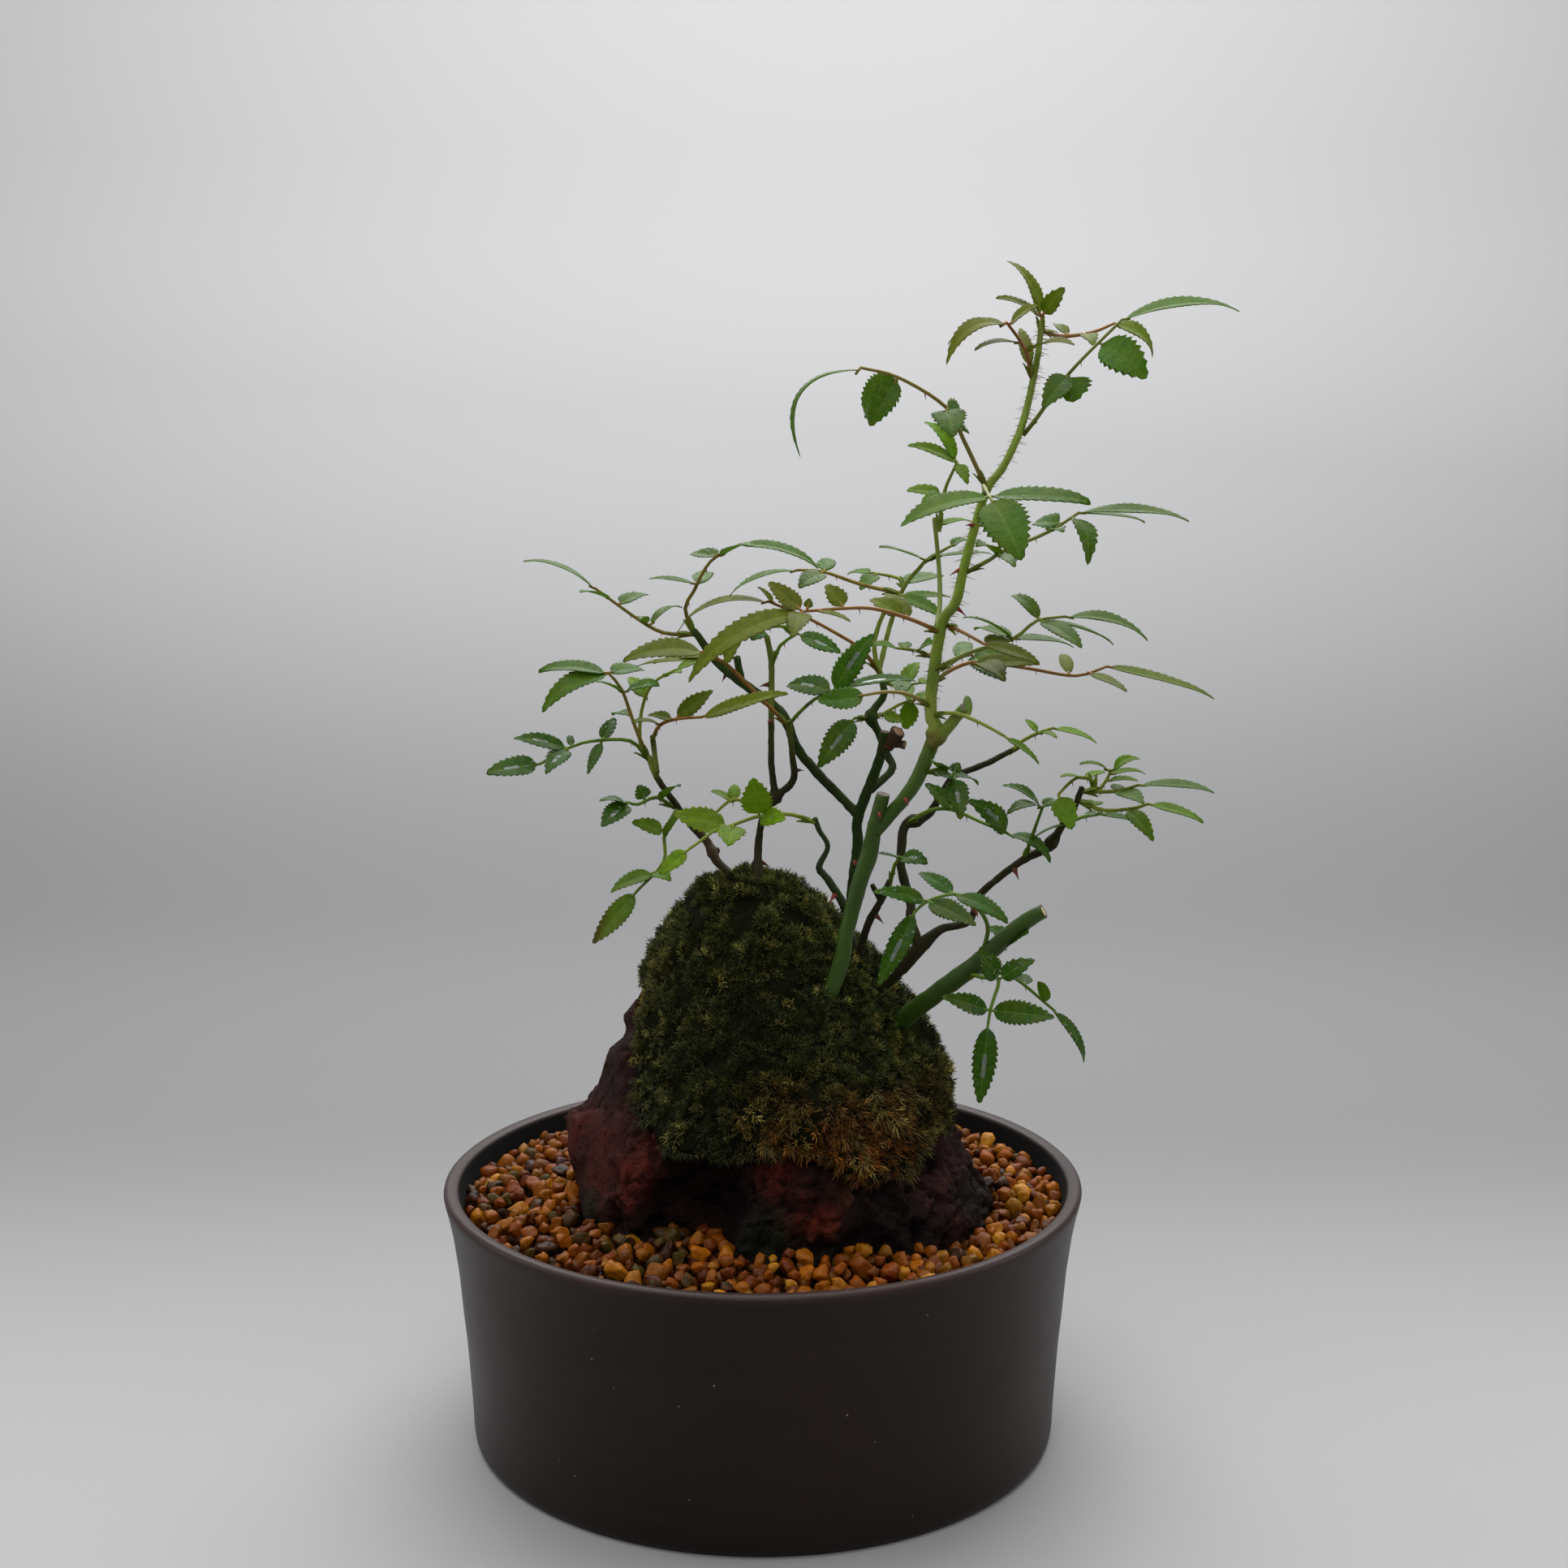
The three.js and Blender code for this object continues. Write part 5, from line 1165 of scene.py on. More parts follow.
def near(points, patch):
    """How strongly a patch [x, y, z, reach, ...] covers each point, 1 in its middle and 0 past its reach."""
    reach = np.linalg.norm(points - np.array(patch[:3], float), axis=1) / patch[3]
    return 1 - smoothstep(0.45, 1.15, reach)


def rock_relief(place):
    """How far the stone stands out at a place: leaning faces with cracks between, lumps, grit and pits."""
    bent = place + noise.noise_vector(place * 0.2) * 1.6
    reaches, centres = noise.voronoi(bent * FACET_GRAIN)
    lean = noise.cell_vector(centres[0] * 7.3) - Vector((0.5, 0.5, 0.5))
    face = (bent - centres[0] / FACET_GRAIN).dot(lean)
    crack = max(0.0, 0.1 - (reaches[1] - reaches[0]))
    lumps = noise.fractal(place * 0.13, 1.0, 2.0, 3)
    grit = noise.fractal(place * 0.55, 0.8, 2.1, 4)
    pit = max(0.0, noise.noise(place * 0.42) - 0.28)
    return 0.62 * face - 9 * crack + 0.6 * lumps + 0.5 * grit - 4.5 * pit - 0.3


def rock_piece():
    mesh = remeshed("rock", ROCK_VOXEL, 3)
    points = points_of(mesh)
    normals = normals_of(mesh)
    for place, direction, reach in ROCK_FACETS:
        direction = unit(np.array(direction))
        over = (points - np.array(place, float)) @ direction
        share = near(points, [*place, reach])
        limit = np.clip(over, 0, 4.5) - 0.35 * np.clip(over, -2.5, 0)
        points = points - direction * (np.where(over > 0, limit, 0) * share)[:, None]
    for x, y, z, reach, depth in ROCK_HOLLOWS:
        points = points - normals * (near(points, [x, y, z, reach]) * depth)[:, None]
    out = np.array([rock_relief(Vector(point)) for point in points])
    smoother = np.max([near(points, face) * strength for face, strength in ROCK_SMOOTHER], axis=0)
    out = out * (1 - 0.8 * smoother)
    above_gravel = smoothstep(48, 54, points[:, 2])
    out = np.clip(out, *ROCK_RELIEF) * above_gravel
    points = points + normals * out[:, None]
    move_points(mesh, points)
    colours = np.tile(srgb(66, 30, 23), (len(points), 1))
    for patch in ROCK_PATCHES:
        share = near(points, patch) * patch[5]
        colours = mix(colours, patch[4], share[:, None])
    # Painted shade and light: the colour darkens where the stone is sunk and lightens where it stands out
    shade = np.clip(0.9 + out * 0.3, 0.25, 1.35)
    paint(mesh, colours * shade[:, None])
    return placed("rock_stone", mesh, ROCK, ["rock"])


# Gravel: rounded broken grains, thrown at random and kept where they find room

GRAIN_COLOURS = [
    srgb(200, 116, 6), srgb(182, 98, 4), srgb(168, 86, 2), srgb(216, 146, 30), srgb(146, 68, 2),
    srgb(194, 112, 4), srgb(176, 94, 2), srgb(208, 132, 14), srgb(160, 80, 2), srgb(190, 110, 8)
]
GRAIN_STAINED = [srgb(58, 50, 24), srgb(36, 34, 22), srgb(88, 80, 26), srgb(110, 54, 12)]


def grain_shapes(random, levels):
    """Balls with flats cut off them at random."""
    points, triangles = ball(levels)
    shapes = []
    for kind in range(GRAIN_KINDS):
        shape = points * random.uniform(0.85, 1.3, 3)
        for flat in range(GRAIN_FLATS):
            direction = unit(random.normal(size=3))
            over = shape @ direction - random.uniform(0.5, 0.85)
            shape = shape - np.outer(np.clip(over, 0, None) * 0.85, direction)
        crumbs = [noise.fractal(Vector(point * 1.7 + kind * 9), 0.9, 2.0, 4) for point in shape]
        shape = shape * (1 + 0.2 * np.array(crumbs))[:, None]
        shapes.append(shape + random.normal(scale=0.012, size=shape.shape))
    return shapes, triangles


def turning(random):
    """A random turn, as a matrix."""
    angle = random.uniform(0, 2 * math.pi)
    return np.array(Matrix.Rotation(angle, 3, Vector(random.normal(size=3)).normalized()))


def gravel_level(radius):
    share = np.clip((RIM_RADIUS - WALL - radius) / GRAVEL_MOUND, 0, 1)
    return mix(GRAVEL_WALL_LEVEL, GRAVEL_ROCK_LEVEL, share)


def grain_places(rock, random):
    """Where grains lie that touch neither the rock nor a grain of their layer: (x, y, z, size, layer)."""
    tree = tree_of(rock)
    kept = []
    for layer, (drop, room) in enumerate(GRAVEL_LAYERS):
        grid = {}
        for attempt in range(GRAIN_TRIES):
            size = random.uniform(*GRAIN_SIZES) / 2 * (1.0 if layer == 0 else LOWER_GRAIN_SIZE)
            reach = math.sqrt(random.uniform(GRAVEL_FROM ** 2, (RIM_RADIUS - WALL - 0.4 - size) ** 2))
            angle = random.uniform(0, 2 * math.pi)
            x = math.cos(angle) * reach
            y = math.sin(angle) * reach
            z = gravel_level(reach) - drop + random.uniform(-0.7, 0.9)
            cell = (int(x // GRAIN_CELL), int(y // GRAIN_CELL))
            cells = [(cell[0] + i, cell[1] + j) for i in (-1, 0, 1) for j in (-1, 0, 1)]
            around = [grain for other in cells for grain in grid.get(other, [])]
            if any(math.hypot(x - gx, y - gy) < (size + gs) * room for gx, gy, gs in around):
                continue
            hit, normal, _, distance = tree.find_nearest(Vector((x, y, z)))
            if distance < size * 0.8 or (Vector((x, y, z)) - hit).dot(normal) < 0:
                continue
            grid.setdefault(cell, []).append((x, y, size))
            kept.append((x, y, z, size, layer))
    return kept


def gravel_pieces(rock):
    random = np.random.default_rng(5)
    fine_grains = grain_shapes(random, 3)
    coarse_grains = grain_shapes(random, 2)
    halves = {"gravel_front": Bag(), "gravel_back": Bag()}
    for x, y, z, size, layer in grain_places(rock, random):
        shapes, triangles = fine_grains if layer == 0 and y < FINE_GRAINS_TO_Y else coarse_grains
        kind = int(random.integers(GRAIN_KINDS))
        shape = shapes[kind] @ turning(random).T * size
        stained, darkest, brightest = GRAINS_LEFT if x < STAINED_TO_X else GRAINS_ELSEWHERE
        colours = GRAIN_STAINED if random.random() < stained else GRAIN_COLOURS
        colour = colours[int(random.integers(len(colours)))] * random.uniform(darkest, brightest)
        # Painted shade on the lower layer, seen in the gaps between the top grains
        if layer == 1:
            colour = colour * LOWER_GRAIN_SHADE
        halves["gravel_front" if y < 0 else "gravel_back"].add(shape + (x, y, z), triangles, colour)
    for name, bag in halves.items():
        bag.piece(name, GRAIN, "clay_grains", ["gravel"])
    # A dark bed under the grains, lowered: its nearly black colour is painted shade in the gaps between them
    bed = bpy.data.meshes.new_from_object(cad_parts["gravel"])
    points = points_of(bed)
    points[points[:, 2] > 50, 2] -= GRAVEL_BED_DROP
    move_points(bed, points)
    paint(bed, np.tile(srgb(22, 12, 5), (len(points), 1)))
    placed("gravel_bed", bed, GRAIN, ["gravel"])


# Moss: a dark ground under thousands of small leafy shoots

# Patches of colour on the moss: [x, y, z, reach, leaf colour, strength]
MOSS_PATCHES = [
    [-36, -18, 100, 12, srgb(112, 98, 48), 0.8],
    [-30, -28, 86, 12, srgb(84, 94, 56), 0.9],
    [-28, -10, 112, 10, srgb(116, 100, 44), 0.7],
    [-20, -32, 98, 12, srgb(76, 82, 42), 0.6],
    [-12, -36, 94, 12, srgb(66, 72, 24), 0.5],
    [4, -45, 87, 13, srgb(122, 80, 22), 0.9],
    [40, -32, 90, 13, srgb(128, 84, 30), 0.7],
    [20, -47, 80, 17, srgb(140, 78, 14), 1.0],
    [34, -40, 84, 15, srgb(126, 72, 18), 0.9],
    [44, -20, 86, 14, srgb(98, 74, 30), 0.7],
    [34, -20, 102, 14, srgb(92, 104, 34), 0.6],
    [-4, -10, 126, 20, srgb(98, 110, 46), 0.8],
    [20, -14, 114, 14, srgb(96, 112, 34), 0.6],
    [2, -24, 112, 14, srgb(40, 48, 18), 0.5],
    [-14, -43, 80, 9, srgb(36, 44, 18), 0.9],
]
MOSS_LEAF_COLOUR = srgb(80, 90, 46)
MOSS_YELLOW = srgb(176, 162, 84)


def moss_mesh():
    mesh = remeshed("moss", MOSS_VOXEL, 3)
    points = points_of(mesh)
    normals = normals_of(mesh)
    out = np.empty(len(points))
    for at, point in enumerate(points):
        place = Vector(point)
        lumps = noise.fractal(place * 0.16, 1.0, 2.0, 4)
        crumbs = noise.fractal(place * 0.6, 1.0, 2.0, 2)
        out[at] = 1.1 * lumps + 0.5 * crumbs
    move_points(mesh, points + normals * np.clip(out - 0.9, -3.2, -0.2)[:, None])
    return mesh


def tuft_shapes(random):
    """Stars of pointed leaves round a stem along +Z, about 1 mm in reach.

    Each has its points, its triangles, and how far along its leaf each point is.
    """
    shapes = []
    for kind in range(TUFT_KINDS):
        points = []
        triangles = []
        for leaf in range(TUFT_LEAVES):
            angle = (leaf + random.uniform(-0.3, 0.3)) * GOLDEN_ANGLE
            lift = mix(0.25, 1.4, leaf / TUFT_LEAVES) + random.uniform(-0.15, 0.15)
            flat = math.cos(lift)
            out = np.array([math.cos(angle) * flat, math.sin(angle) * flat, math.sin(lift)])
            side = np.array([-math.sin(angle), math.cos(angle), 0])
            base = np.array([0, 0, 0.5 * leaf / TUFT_LEAVES]) + out * 0.08
            keel = base - np.cross(out, side) * 0.14 + out * 0.25
            first = len(points)
            points += [base - side * 0.14, base + side * 0.14, keel, base + out * random.uniform(0.7, 1.1)]
            triangles += [(first + 1, first + 2, first + 3), (first + 2, first, first + 3)]
        shapes.append((np.array(points), np.array(triangles), np.tile([0, 0, 0.3, 1], TUFT_LEAVES)))
    return shapes


def spread_over(mesh, count, random):
    """Places spread evenly over a mesh, with the direction outward at each."""
    points = points_of(mesh)
    mesh.calc_loop_triangles()
    triangles = np.array([triangle.vertices for triangle in mesh.loop_triangles])
    a, b, c = points[triangles[:, 0]], points[triangles[:, 1]], points[triangles[:, 2]]
    normals = np.cross(b - a, c - a)
    areas = np.linalg.norm(normals, axis=1)
    chosen = random.choice(len(triangles), count, p=areas / areas.sum())
    u = random.random((count, 1))
    v = random.random((count, 1))
    over = u + v > 1
    u = np.where(over, 1 - u, u)
    v = np.where(over, 1 - v, v)
    places = a[chosen] + u * (b - a)[chosen] + v * (c - a)[chosen]
    return places, normals[chosen] / areas[chosen][:, None]


def moss_colour(place, random):
    colour = MOSS_LEAF_COLOUR
    for patch in MOSS_PATCHES:
        shown = near(place[None], patch)[0] * patch[5] * random.uniform(0.4, 1.2)
        colour = mix(colour, patch[4], min(shown, 1))
    if random.random() < YELLOW_SHARE:
        colour = mix(colour, MOSS_YELLOW, random.uniform(0.3, 0.9))
    return colour * random.uniform(0.7, 1.4)


def add_clump(bags, shapes, middle, normal, random):
    """A domed cushion of shoots of one colour. Low in front most of them hang, longest on the right."""
    colour = moss_colour(middle, random)
    reach = random.uniform(*CLUMP_REACHES)
    across = squared_to(normal, random.normal(size=3))
    third = np.cross(normal, across)
    hangs = middle[1] < HANGING_Y and middle[2] < HANGING_Z and random.random() < HANGING_SHARE
    pull, longest = (-0.8, 2.4) if middle[0] > 0 else (-0.4, 1.5)
    for shoot in range(int(5 + 2.2 * reach ** 1.5)):
        angle = random.uniform(0, 2 * math.pi)
        off = reach * math.sqrt(random.random())
        aside = across * math.cos(angle) + third * math.sin(angle)
        height = 1 - (off / reach) ** 2 - 0.3
        place = middle + aside * off + normal * height
        up = unit(normal + aside * (0.9 * off / reach) + (0, 0, 0.2) + random.normal(scale=0.22, size=3))
        size = random.uniform(*SHOOT_SIZES)
        stretch = 1.0
        if hangs:
            up = unit(normal * 0.8 + aside * 0.4 + (0, 0, pull) + random.normal(scale=0.3, size=3))
            stretch = random.uniform(1.0, longest)
        first = squared_to(up, random.normal(size=3))
        turn = np.array([first, np.cross(up, first), up * stretch])
        points, triangles, share = shapes[int(random.integers(TUFT_KINDS))]
        # Painted shade: shoots darken towards a cushion's edge and down each shoot to its base. Painted
        # highlight: the tips of some shoots glint much brighter
        light = mix(0.6, 1.15, 1 - off / reach) * random.uniform(0.5, 1.4)
        glint = random.uniform(*GLINTS) if random.random() < GLINT_SHARE else 1.2
        tints = colour * light * (0.3 + glint * share ** 1.5)[:, None]
        side = "front" if place[1] < MOSS_FRONT_Y else ("left" if place[0] < 0 else "right")
        bags["moss_tufts_" + side].add(points @ turn * size + place, triangles, tints)


def moss_pieces(rock):
    """The dark ground, and cushions of shoots spread over it with dark gaps between."""
    random = np.random.default_rng(8)
    mesh = moss_mesh()
    tree = tree_of(rock)
    # The ground is painted nearly black: partly the moss's own dark lower growth, partly painted shade in the
    # gaps between cushions
    paint(mesh, np.tile(srgb(22, 24, 11), (len(mesh.vertices), 1)))
    placed("moss_cushion", mesh, MOSS_GROUND, ["moss"])
    shapes = tuft_shapes(random)
    bags = {"moss_tufts_front": Bag(), "moss_tufts_left": Bag(), "moss_tufts_right": Bag()}
    for middle, normal in zip(*spread_over(mesh, CLUMPS, random)):
        hit, out, _, _ = tree.find_nearest(Vector(middle))
        if (Vector(middle) - hit).dot(out) >= 0.3:
            add_clump(bags, shapes, middle, normal, random)
    for name, bag in bags.items():
        bag.piece(name, MOSS_LEAF, "moss", ["moss"], False)


# Rose

def leaflet_frame(start, end, tilt):
    along = unit(end - start)
    lean = math.radians(tilt)
    up = squared_to(along, np.array([0, -math.sin(lean), math.cos(lean)]))
    return along, np.cross(up, along), up


BLADE_COLUMNS = np.array([-1, -0.82, -0.5, -0.14, 0, 0.14, 0.5, 0.82, 1])


def add_leaflet(bag, start, end, width, tilt, arch, colour, wet, random, edge, dry=False):
    """A toothed, veined blade folded along its rib, with its own thickness.

    Returns the points of its upper face, and which way that face looks.
    """
    start = np.array(start, float)
    end = np.array(end, float)
    length = np.linalg.norm(end - start)
    along, side, up = leaflet_frame(start, end, tilt)
    bow = length * BLADE_ARCH if arch is None else arch
    teeth = next(count for longest, count in TEETH if length < longest)
    rows = 2 * teeth + 1
    row = np.repeat(np.arange(rows), len(BLADE_COLUMNS))
    v = np.tile(BLADE_COLUMNS, rows)
    off = abs(v)
    u = row / (rows - 1)
    tooth = row % 2 == 1
    body = u ** 0.6 * (1 - u) ** 0.8 / BLADE_WIDEST
    half = width / 2 * BLADE_FULLNESS
    reach = half * body * np.where(tooth, 1.0, mix(1.0, TOOTH_NOTCH, off ** 4))
    forward = np.where(tooth, 0.42, -0.12) * off ** 4 - 1.3 * off * np.sin(math.pi * u)
    here = np.clip(u + forward / (rows - 1), 0, 1)
    wave = random.uniform(0, 2 * math.pi)
    ripple = random.uniform(0.01, 0.05)
    twist = random.normal(scale=0.07)
    between_veins = np.cos((row + 1) / VEIN_ROWS * 2 * math.pi)
    lift = bow * 4 * here * (1 - here) + off * reach * BLADE_FOLD * (1 - 0.25 * off)
    lift += twist * v * half * (u - 0.4) + ripple * half * off ** 2 * np.sin(wave + u * 8 + 3 * (v > 0))
    lift -= 0.014 * half * between_veins * np.sin(math.pi * np.minimum(off * 1.2, 1)) * body
    lift -= CURLED_TIP * length * np.clip(here - 0.75, 0, None) ** 2
    top = start + along * (length * here)[:, None] + side * (v * reach)[:, None] + up * lift[:, None]
    under = top - up * BLADE_THICKNESS
    light = mix(1.0, 0.86, off) * random.uniform(0.97, 1.03, len(off))
    tints = np.tile(colour, (len(top), 1)) * light[:, None]
    rim = off ** 8 * (0.3 + 0.7 * u)
    tints = mix(tints, edge, rim[:, None] * 0.5)
    if dry:
        spent = smoothstep(0.55, 0.85, here - 0.22 * v + 0.06 * np.sin(wave + 9 * u))
        tints = mix(tints, srgb(92, 50, 30), spent[:, None] * 0.85)
    columns = len(BLADE_COLUMNS)
    count = rows * columns
    triangles = []
    for low in range(rows - 1):
        for column in range(columns - 1):
            a = low * columns + column
            b = a + 1
            c = b + columns
            d = a + columns
            triangles += [(a, c, b), (a, d, c)]
            triangles += [(a + count, b + count, c + count), (a + count, c + count, d + count)]
        a = low * columns
        d = a + columns
        triangles += [(a, a + count, d + count), (a, d + count, d)]
        a += columns - 1
        d += columns - 1
        triangles += [(a, d + count, a + count), (a, d, d + count)]
    marks = np.column_stack([(row + 1) / VEIN_ROWS, v, np.full(len(v), wet)])
    under_marks = marks.copy()
    under_marks[:, 2] = UNDERSIDE
    bag.add(np.vstack([top, under]), triangles, np.vstack([tints, tints]), np.vstack([marks, under_marks]))
    return top, up


def add_drops(bag, top, up, wet, random):
    """Drops of water that lie on a blade."""
    columns = len(BLADE_COLUMNS)
    rows = len(top) // columns
    points, triangles = DROP
    for drop in range(int(random.poisson(DROPS_A_LEAFLET * wet))):
        row = int(random.integers(1, rows - 1))
        column = int(random.integers(0, columns - 1))
        a = top[row * columns + column]
        b = top[(row - 1) * columns + column + 1]
        size = random.uniform(0.1, 0.22) if random.random() < 0.85 else random.uniform(0.22, 0.4)
        place = mix(a, b, random.random()) + up * size * 0.25
        bag.add(points * size * (1 - 0.35 * abs(up)) + place, triangles, srgb(255, 255, 255))


def add_pool(bag, top, along, up, width):
    """A shallow pool of water on a blade."""
    columns = len(BLADE_COLUMNS)
    middle = top[(len(top) // columns // 2) * columns + columns // 2]
    points, triangles = BALL
    side = np.cross(up, along)
    length = np.linalg.norm(top[-1] - top[0])
    shape = points * (0.16 * length, 0.2 * width, 0.14)
    bag.add(shape @ np.array([along, side, up]) + middle - up * 0.02, triangles, srgb(255, 255, 255))


def tapered(route, radii):
    """A route of [x, y, z] given radii from the first of two to the second."""
    points = np.array(route, float)
    return np.hstack([points, np.linspace(*radii, len(points))[:, None]])


# Edges of leaflets that aren't just a darker shade of the leaf
LEAF_EDGES = {"olive": srgb(128, 54, 34), "red": srgb(128, 54, 34), "yellow": srgb(176, 190, 50)}


def add_leaf(leaves, stems, drops, leaf, random):
    look, stalk, leaflets = leaf
    colour, wet, stalk_colour = LEAF_LOOKS[look]
    route = smooth_route(tapered(stalk, STALK_RADII), 2.2)
    add_tube(stems, route, 7, stalk_colour * random.uniform(0.85, 1.1))
    edge = LEAF_EDGES.get(look, colour * 0.9)
    dry = look == "withered"
    for share, x, y, z, width, tilt, *arch in leaflets:
        end = np.array([x, y, z], float)
        start = point_along(stalk, share)
        stalklet = unit(end - start) * STALKLET_LENGTH
        tint = colour * random.uniform(0.78, 1.18) * (1 + random.normal(scale=0.05, size=3))
        short = np.vstack([start, start + stalklet * 0.6, start + stalklet * 1.6])
        add_tube(stems, tapered(short, STALKLET_RADII), 6, stalk_colour)
        wetness = wet * random.uniform(0.5, 1.3)
        top, up = add_leaflet(leaves, start + stalklet * 0.6, end, width, tilt, arch[0] if arch else None,
                              np.clip(tint, 0, 1), wetness, random, edge, dry and share == 1)
        if wetness > WET_ENOUGH_FOR_DROPS:
            add_drops(drops, top, up, wetness, random)
        if look == "dark" and share == 1 and width > WIDE_ENOUGH_FOR_POOL:
            add_pool(drops, top, unit(end - start), up, width)
    add_stipules(leaves, stalk, colour, random)
    if len(stalk) > 2:
        for share in STALK_THORNS:
            place = point_along(stalk, share)
            add_thorn(stems, place, np.array([0.2, -0.2, -1.0]), 1.1, 0.16, srgb(150, 70, 52))


def add_stipules(bag, stalk, colour, random):
    """The pair of narrow wings where a leaf's stalk leaves its stem."""
    start = np.array(stalk[0], float)
    along = unit(np.array(stalk[1], float) - start)
    tint = mix(colour, srgb(150, 160, 70), 0.5)
    for turn in (-1, 1):
        out = squared_to(along, np.array([0.4, -0.5, 0.6]) * turn + np.array([0, -0.5, 0]))
        tip = start + along * STIPULE_LENGTH + out * STIPULE_WIDTH
        add_leaflet(bag, start, tip, STIPULE_WIDTH, 30, 0.1, tint, 0, random, srgb(96, 70, 36))


def add_thorn(bag, place, out, reach, width, colour):
    """A hooked cone that leans down towards its tip and darkens there."""
    out = unit(out)
    points = []
    for share in (0, 0.25, 0.5, 0.75, 1):
        radius = width * (1 - share) ** 1.3 + 0.03
        points.append([*(place + out * reach * share + np.array([0, 0, -0.22]) * reach * share ** 2), radius])
    darker = np.array([[0.1], [0.3], [0.5], [0.8], [1]])
    add_tube(bag, np.array(points), 6, mix(colour, srgb(104, 34, 26), darker))


def stepping(seed):
    """The part's own sequence of shares from 0 to 1, so that thorns stand where its thorns do."""
    state = seed
    while True:
        state = (state * 1664525 + 1013904223) % 2 ** 32
        yield state / 2 ** 32


def add_thorns(bag, data, colour):
    """The thorns that the part shows."""
    chances = stepping(data["seed"])
    for route in data["routes"]:
        corners = np.array(route[1:], float)
        for a, b in zip(corners, corners[1:]):
            chance = next(chances)
            angle = next(chances) * 2 * math.pi
            length = np.linalg.norm((b - a)[:3])
            radius = b[3]
            if radius > 0.7 and chance < length / THORN_SPACING:
                out = squared_to(unit((b - a)[:3]), np.array([math.cos(angle), math.sin(angle), -0.25]))
                add_thorn(bag, (a + b)[:3] / 2 + out * radius * 0.6, out, THORN_LENGTH, 0.75, colour)


def add_large_thorns(bag, thorns, colour):
    for thorn in thorns:
        place, out = np.array(thorn, float).reshape(2, 3)
        add_thorn(bag, place, out, THORN_LENGTH * 1.3, 0.8, colour)


def add_bristles(bag, route, low, high, random):
    """Fine red-tipped bristles all round the young part of a stem."""
    for point in smooth_route(route, 0.5):
        if not low < point[2] < high:
            continue
        for hair in range(2):
            angle = random.uniform(0, 2 * math.pi)
            out = np.array([math.cos(angle), math.sin(angle), random.uniform(-0.5, 0.1)])
            length = random.uniform(0.7, 2.1)
            points = [[*(point[:3] + out * (point[3] * 0.8 + length * share)), radius]
                      for share, radius in ((0, 0.09), (0.5, 0.06), (1, 0.025))]
            add_tube(bag, np.array(points), 3, mix(srgb(110, 120, 56), srgb(150, 60, 44), random.random()))


def add_knob(bag, place, size, colour, random):
    """A knot on a stem: a lumpy ball, a little flattened."""
    points, triangles = BALL
    lumps = [1 + 0.16 * noise.noise(Vector(point) * 2.2 + Vector(place)) for point in points]
    shape = points * np.array(lumps)[:, None] * size
    bag.add(shape + place, triangles, colour * random.uniform(0.9, 1.1))


def stem_colours(route, bark, patches):
    """Colours along a stem: its bark's low and high ones, the low ones darker partly as painted shade, and a
    lighter one where it is thin and young.
    """
    low, high = bark
    share = smoothstep(*BARK_CHANGES, route[:, 2])
    clouds = np.array([noise.noise(Vector(point * 0.13)) for point in route[:, :3]])
    tint = mix(low, high, share[:, None]) * (1 + 0.25 * clouds)[:, None]
    young = smoothstep(0.85, 0.6, route[:, 3]) * smoothstep(*BARK_YOUNG_FROM, route[:, 2])
    tint = mix(tint, BARK_YOUNG, young[:, None])
    for patch in patches:
        tint = mix(tint, patch[4], (near(route[:, :3], patch) * patch[5])[:, None])
    return np.clip(tint, 0, 1)


def with_knots(route, data):
    """The route with its radius swollen near the knots that the part shows."""
    swollen = route.copy()
    for x, y, z, size in data["knobs"]:
        distance = np.linalg.norm(route[:, :3] - np.array([x, y, z]), axis=1)
        swollen[:, 3] = np.maximum(swollen[:, 3], size * np.exp(-(distance / size / 1.4) ** 2))
    return swollen


def add_stems(bag, data, bark, fresh):
    """The stem and its branches. The first route goes on below its first point, into the moss."""
    wood = srgb(206, 192, 150) if data is LOW_CANE else srgb(88, 62, 42)
    for number, route in enumerate(data["routes"]):
        corners = np.array(route, float)
        if number == 0:
            down = unit((corners[0] - corners[1])[:3])
            corners[0, :3] += down * ROOT_DEPTH
        path = with_knots(smooth_route(corners, 1.1), data)
        path[:, 3] *= 1 if fresh else OLD_STEM_SLIMMER
        sides = 14 if corners[:, 3].max() > 1 else 10
        cut = wood if corners[-1, 3] >= CUT_END_RADIUS else None
        colours = stem_colours(path, bark, data.get("patches", []))
        add_tube(bag, path, sides, colours, 0.1 if fresh else 0.22, cut)


def stem_pieces():
    drops = Bag()
    for name, (data, bark, slot) in STEMS.items():
        random = np.random.default_rng(data["seed"])
        stems = Bag()
        leaves = Bag()
        fresh = slot == "rose_fresh"
        add_stems(stems, data, bark, fresh)
        for x, y, z, size in data["knobs"]:
            bud = np.array([x, y, z], float) + random.normal(scale=0.3, size=3)
            add_knob(stems, bud, size * 0.5, mix(bark[0], srgb(84, 62, 42), 0.5), random)
        for stub in data.get("stubs", []):
            add_tube(stems, smooth_route(stub, 0.9), 12, srgb(64, 48, 32), 0.4, srgb(128, 96, 66))
        add_thorns(stems, data, srgb(132, 58, 44) if fresh else srgb(96, 64, 50))
        add_large_thorns(stems, data.get("thorns", []), srgb(150, 58, 46))
        if data is LEADER:
            add_bristles(stems, data["routes"][1], *BRISTLES, random)
        for leaf in data["leaves"]:
            add_leaf(leaves, stems, drops, leaf, random)
        look = BARK_FRESH_LOOK if fresh else BARK_OLD_LOOK
        short = name.replace("leafy_", "")
        stems.piece(short + "_wood", look, slot, [name])
        leaves.piece(short + "_leaves", LEAF, slot, [name])
    drops.piece("water_drops", water_material(), "rose_fresh")


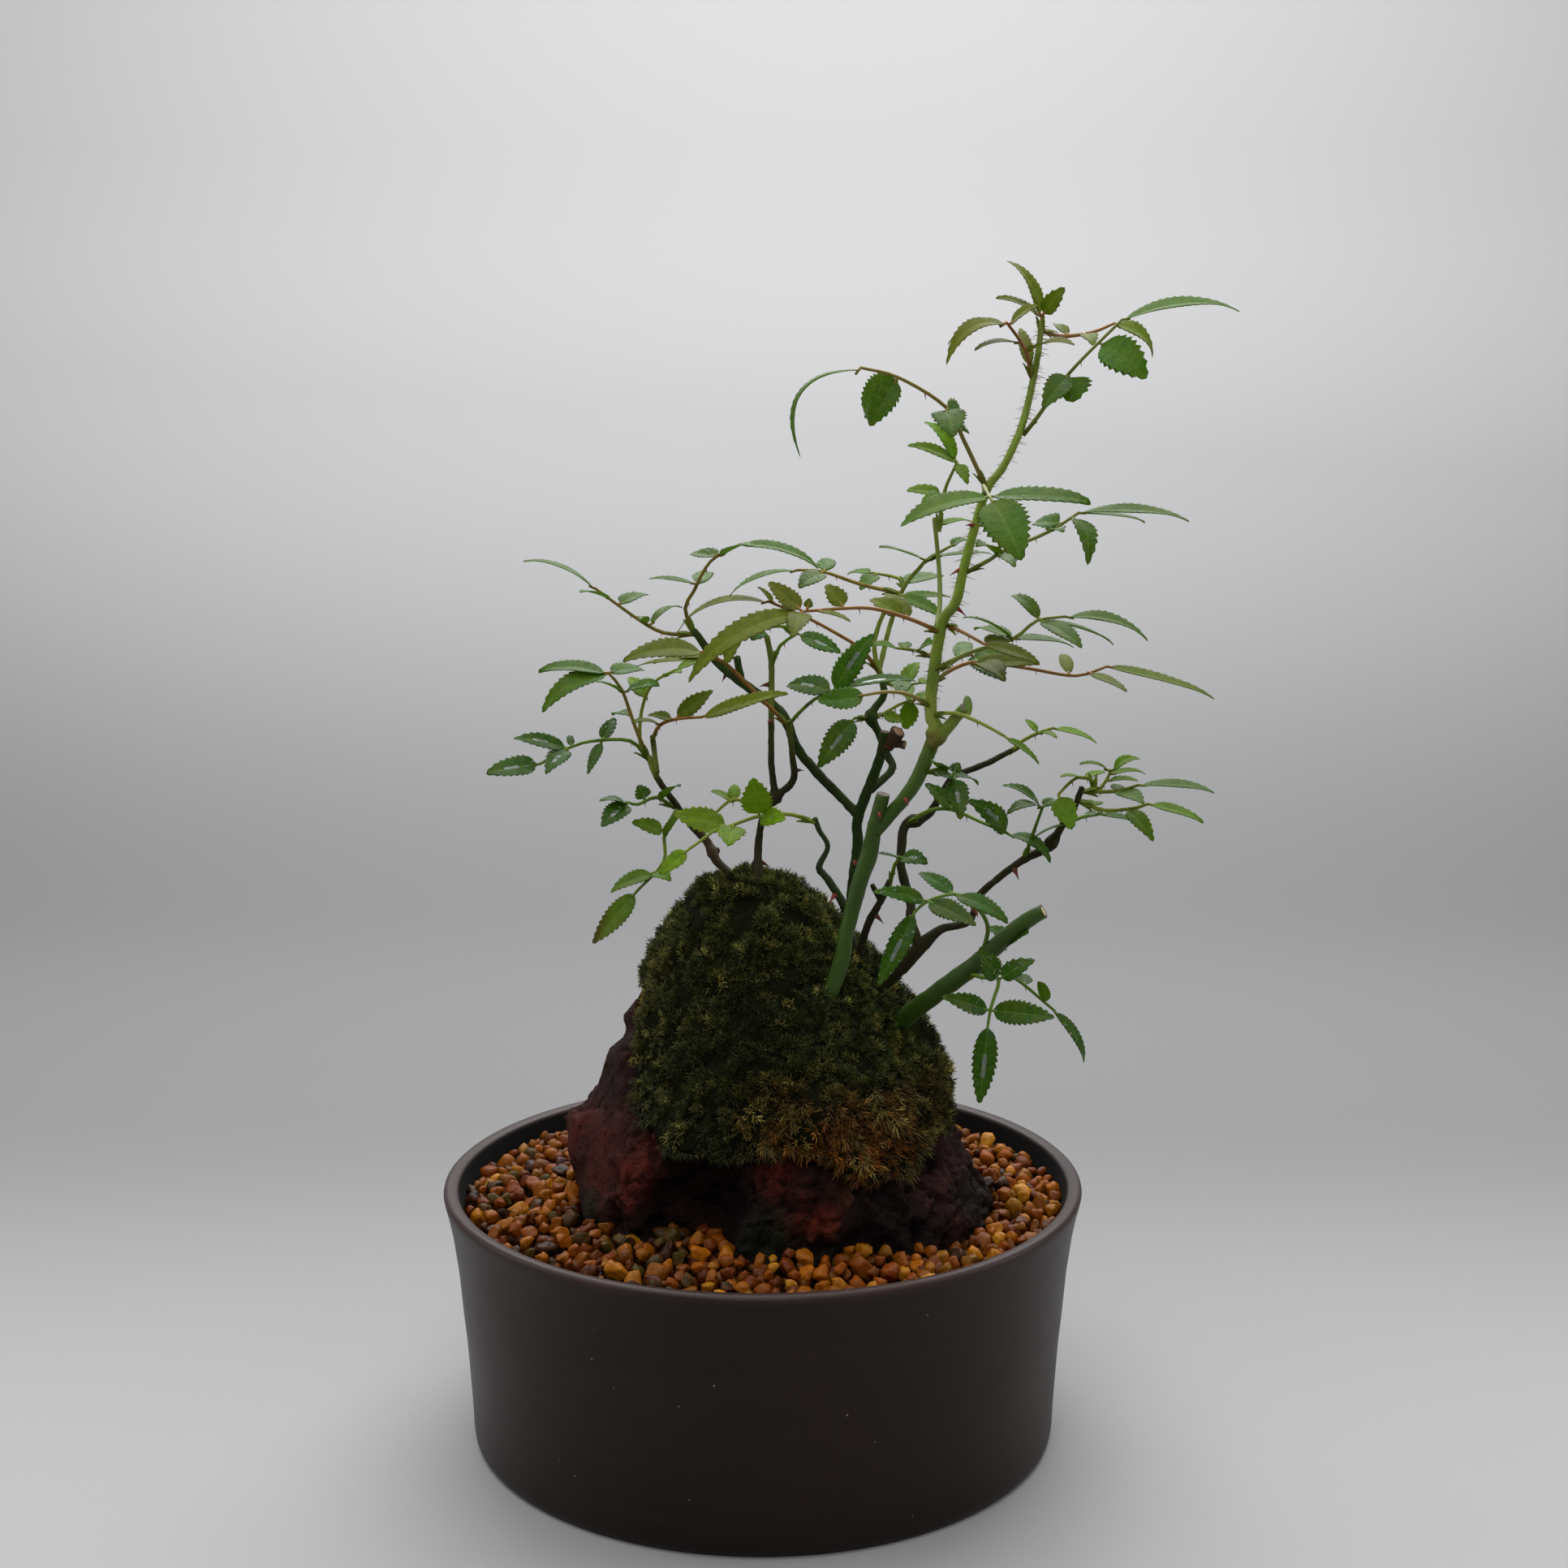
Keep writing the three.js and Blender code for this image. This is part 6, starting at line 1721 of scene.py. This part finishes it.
BALL = ball(3)
DROP = ball(1)

pot_piece()
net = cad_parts["drain_mesh"]
net.data.materials.clear()
net.data.materials.append(net_material())
stone = rock_piece()
moss_pieces(stone)
gravel_pieces(stone)
stem_pieces()


# Stage, lights and camera

SWEEP_HALF_WIDTH = 1800
SWEEP_FRONT = -1400
SWEEP_BEND = 500
SWEEP_BEND_RADIUS = 400
SWEEP_BEND_STEPS = 16
SWEEP_HEIGHT = 2200

# Each light's place, what it looks at, its width and height, and its watts
LIGHTS = {
    "overhead": ((-40, 90, 900), (0, 20, 100), (1000, 800), 7.8),
    "left": ((-800, 60, 420), (0, 0, 120), (500, 600), 1.3),
    "right": ((800, 60, 400), (0, 0, 120), (400, 600), 1.6),
    "front": ((-100, -900, 900), (0, 0, 180), (700, 500), 3.8),
    "behind": ((60, 560, 620), (10, 0, 190), (900, 300), 4.0),
    "backdrop": ((0, 300, 900), (0, 900, 420), (900, 300), 2.9),
}
ROOM_LIGHT = 0.26


def sweep():
    """A pale floor that curves up into a backdrop, darker towards the bend as painted shade."""
    profile = [(SWEEP_FRONT, 0), (SWEEP_BEND, 0)]
    for step in range(1, SWEEP_BEND_STEPS + 1):
        angle = step / SWEEP_BEND_STEPS * math.pi / 2
        back = SWEEP_BEND_RADIUS * math.sin(angle)
        profile.append((SWEEP_BEND + back, SWEEP_BEND_RADIUS - SWEEP_BEND_RADIUS * math.cos(angle)))
    profile.append((SWEEP_BEND + SWEEP_BEND_RADIUS, SWEEP_HEIGHT))
    points = []
    triangles = []
    for y, z in profile:
        points += [(-SWEEP_HALF_WIDTH, y, z), (SWEEP_HALF_WIDTH, y, z)]
    for at in range(len(profile) - 1):
        a = at * 2
        triangles += [(a, a + 1, a + 3), (a, a + 3, a + 2)]
    mesh = bpy.data.meshes.new("sweep")
    mesh.from_pydata([(x * MM, y * MM, z * MM) for x, y, z in points], [], triangles)
    shade_smooth(mesh)
    floor = bpy.data.objects.new("sweep", mesh)
    bpy.context.scene.collection.objects.link(floor)
    s = Shader("paper")
    split = s.node("ShaderNodeSeparateXYZ")
    s.link(s.place, split.inputs[0])
    # Painted shade: the floor darkens towards the back and the bend, and the backdrop is pale only higher up
    painted_shade_tone = s.colour(s.ramp(split.outputs["Y"], -0.08, 0.24), srgb(158, 157, 156), srgb(104, 104, 105))
    painted_shade_tone = s.colour(s.ramp(split.outputs["Z"], -0.08, 0.36), painted_shade_tone, srgb(216, 216, 217))
    mesh.materials.append(s.finish(painted_shade_tone, 0.9))


def softbox(name, place, target, size, watts):
    light = bpy.data.lights.new(name, "AREA")
    light.shape = "RECTANGLE"
    light.size = size[0] * MM
    light.size_y = size[1] * MM
    light.energy = watts
    lamp = bpy.data.objects.new(name, light)
    lamp.location = Vector(place) * MM
    lamp.rotation_euler = (Vector(target) - Vector(place)).to_track_quat("-Z", "Y").to_euler()
    bpy.context.scene.collection.objects.link(lamp)


def set_stage():
    scene = bpy.context.scene
    sweep()
    for name, settings in LIGHTS.items():
        softbox(name, *settings)
    world = bpy.data.worlds.new("room")
    world.use_nodes = True
    background = world.node_tree.nodes["Background"]
    background.inputs["Color"].default_value = (*srgb(178, 180, 184), 1)
    background.inputs["Strength"].default_value = ROOM_LIGHT
    scene.world = world
    lens = bpy.data.cameras.new("camera")
    lens.lens = LENS
    lens.sensor_width = 36
    lens.clip_end = 20
    camera = bpy.data.objects.new("camera", lens)
    camera.location = Vector(CAMERA_PLACE) * MM
    camera.rotation_euler = (math.radians(CAMERA_PITCH), 0, math.radians(CAMERA_YAW))
    scene.collection.objects.link(camera)
    scene.camera = camera
    scene.view_settings.view_transform = "Standard"


set_stage()
